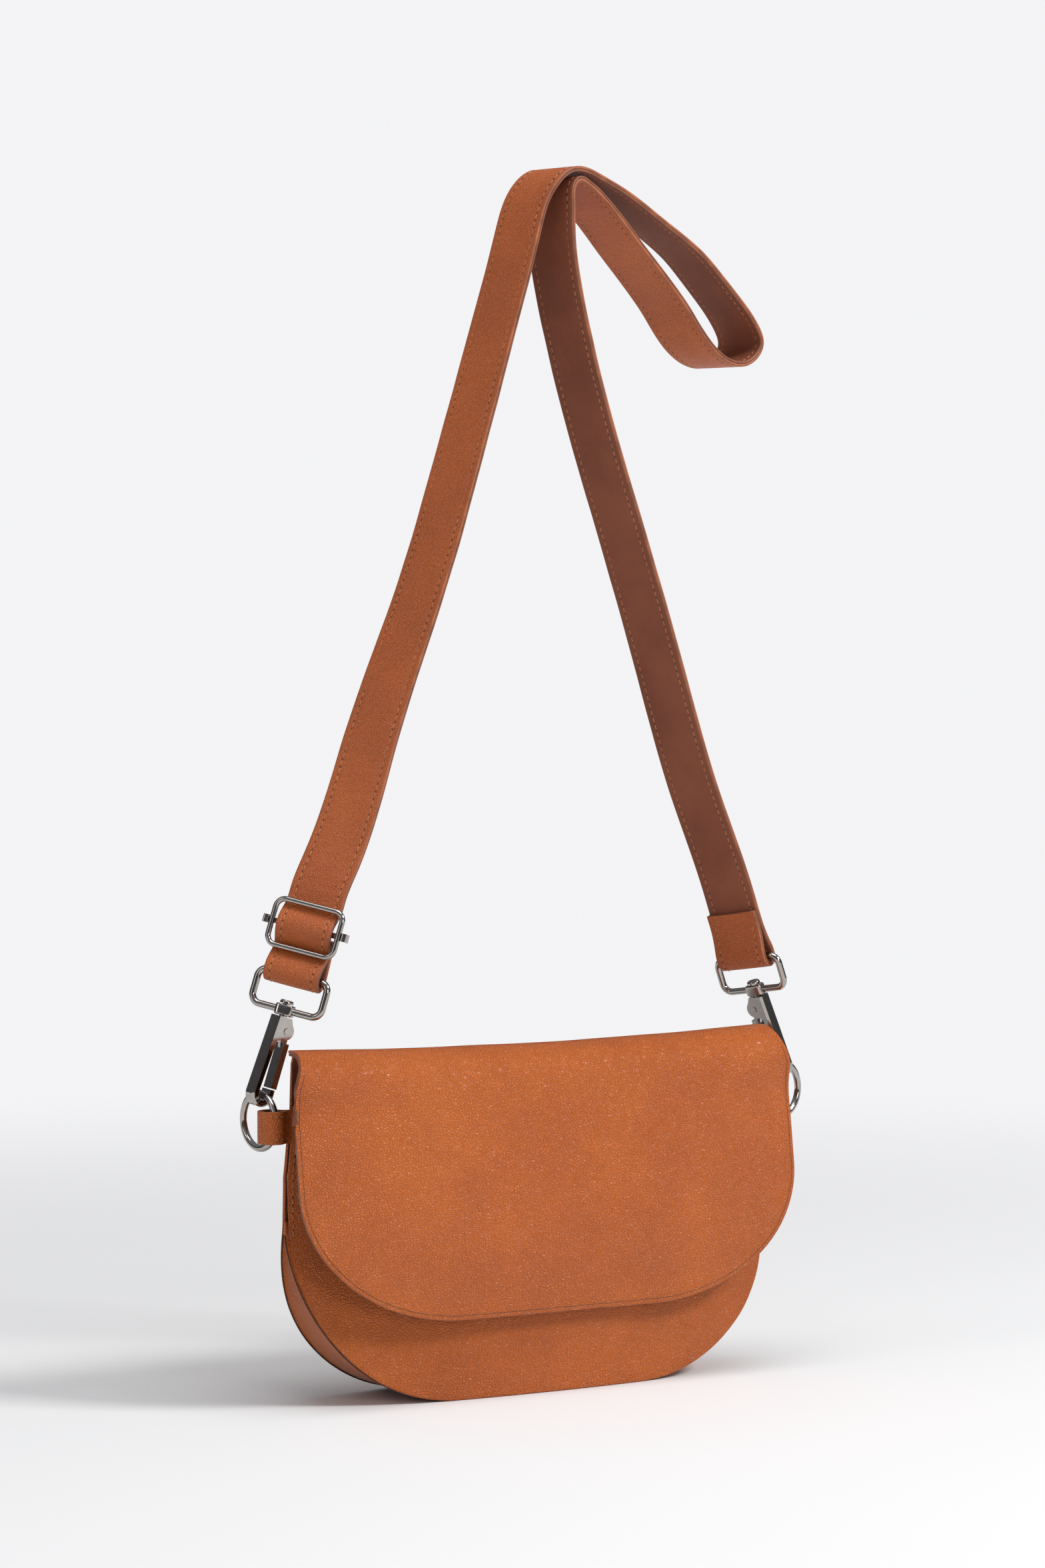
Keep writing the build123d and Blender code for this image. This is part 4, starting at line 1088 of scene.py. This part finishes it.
# The camera sees the plain backdrop, and everything else is lit by a fill that is brighter overhead.
world = bpy.data.worlds.new("studio_world")
bpy.context.scene.world = world
world.use_nodes = True
backdrop = world.node_tree.nodes["Background"]
backdrop.inputs[0].default_value = rgba(PAPER)
backdrop.inputs[1].default_value = 1.0
fill = world.node_tree.nodes.new("ShaderNodeBackground")
fill.inputs[1].default_value = 1.0
ways = world.node_tree.nodes.new("ShaderNodeTexCoord")
split = world.node_tree.nodes.new("ShaderNodeSeparateXYZ")
shade = world.node_tree.nodes.new("ShaderNodeValToRGB")
sky = ((0.0, 0.09), (0.30, 0.11), (0.55, 0.28), (1.0, 0.38))
for height, _ in sky[1:-1]:
    shade.color_ramp.elements.new(height)
for stop, (height, level) in zip(shade.color_ramp.elements, sky):
    stop.position = height
    stop.color = (level * 0.93, level * 0.95, level, 1)
world.node_tree.links.new(ways.outputs["Generated"], split.inputs[0])
world.node_tree.links.new(split.outputs[2], shade.inputs[0])
world.node_tree.links.new(shade.outputs[0], fill.inputs[0])
rays = world.node_tree.nodes.new("ShaderNodeLightPath")
choose = world.node_tree.nodes.new("ShaderNodeMixShader")
world.node_tree.links.new(rays.outputs["Is Camera Ray"], choose.inputs[0])
world.node_tree.links.new(fill.outputs[0], choose.inputs[1])
world.node_tree.links.new(backdrop.outputs[0], choose.inputs[2])
world.node_tree.links.new(choose.outputs[0], world.node_tree.nodes["World Output"].inputs[0])


def lamp(name, place, aim, size, power):
    """A rectangular lamp; places in metres, power in watts."""
    light = bpy.data.lights.new(name, "AREA")
    light.shape = "RECTANGLE"
    light.size, light.size_y = size
    light.energy = power
    obj = bpy.data.objects.new(name, light)
    obj.location = place
    obj.rotation_euler = (Vector(aim) - Vector(place)).to_track_quat("-Z", "Y").to_euler()
    bpy.context.scene.collection.objects.link(obj)


lamp("key", (1.25, -1.50, 1.75), (0, 0, 0.18), (0.6, 0.6), 42)
lamp("top", (-0.1, -0.45, 2.1), (0, 0, 0.1), (1.4, 1.1), 20)
lamp("front", (0.15, -2.2, 0.75), (0, 0, 0.10), (0.5, 0.7), 8)
lamp("left_strip", (-1.9, -0.2, 1.0), (0, 0, 0.3), (0.25, 1.2), 3)

# The camera was fitted to the photo: its place in metres, its tilt and its turn in degrees, its lens in mm.
CAMERA_PLACE, CAMERA_TILT, CAMERA_TURN = (-0.9252, -1.5981, 0.3281), -2.2, -30.0
SENSOR_MM, LENS_MM = 36.0, 149.2347
camera_data = bpy.data.cameras.new("camera")
camera_data.sensor_fit = "HORIZONTAL"
camera_data.sensor_width = SENSOR_MM
camera_data.lens = LENS_MM
camera_data.clip_end = 100
camera = bpy.data.objects.new("camera", camera_data)
camera.location = CAMERA_PLACE
camera.rotation_euler = Euler((math.radians(90 + CAMERA_TILT), 0, math.radians(CAMERA_TURN)), "XYZ")
bpy.context.scene.collection.objects.link(camera)
bpy.context.scene.camera = camera
bpy.context.scene.view_settings.view_transform = "Standard"
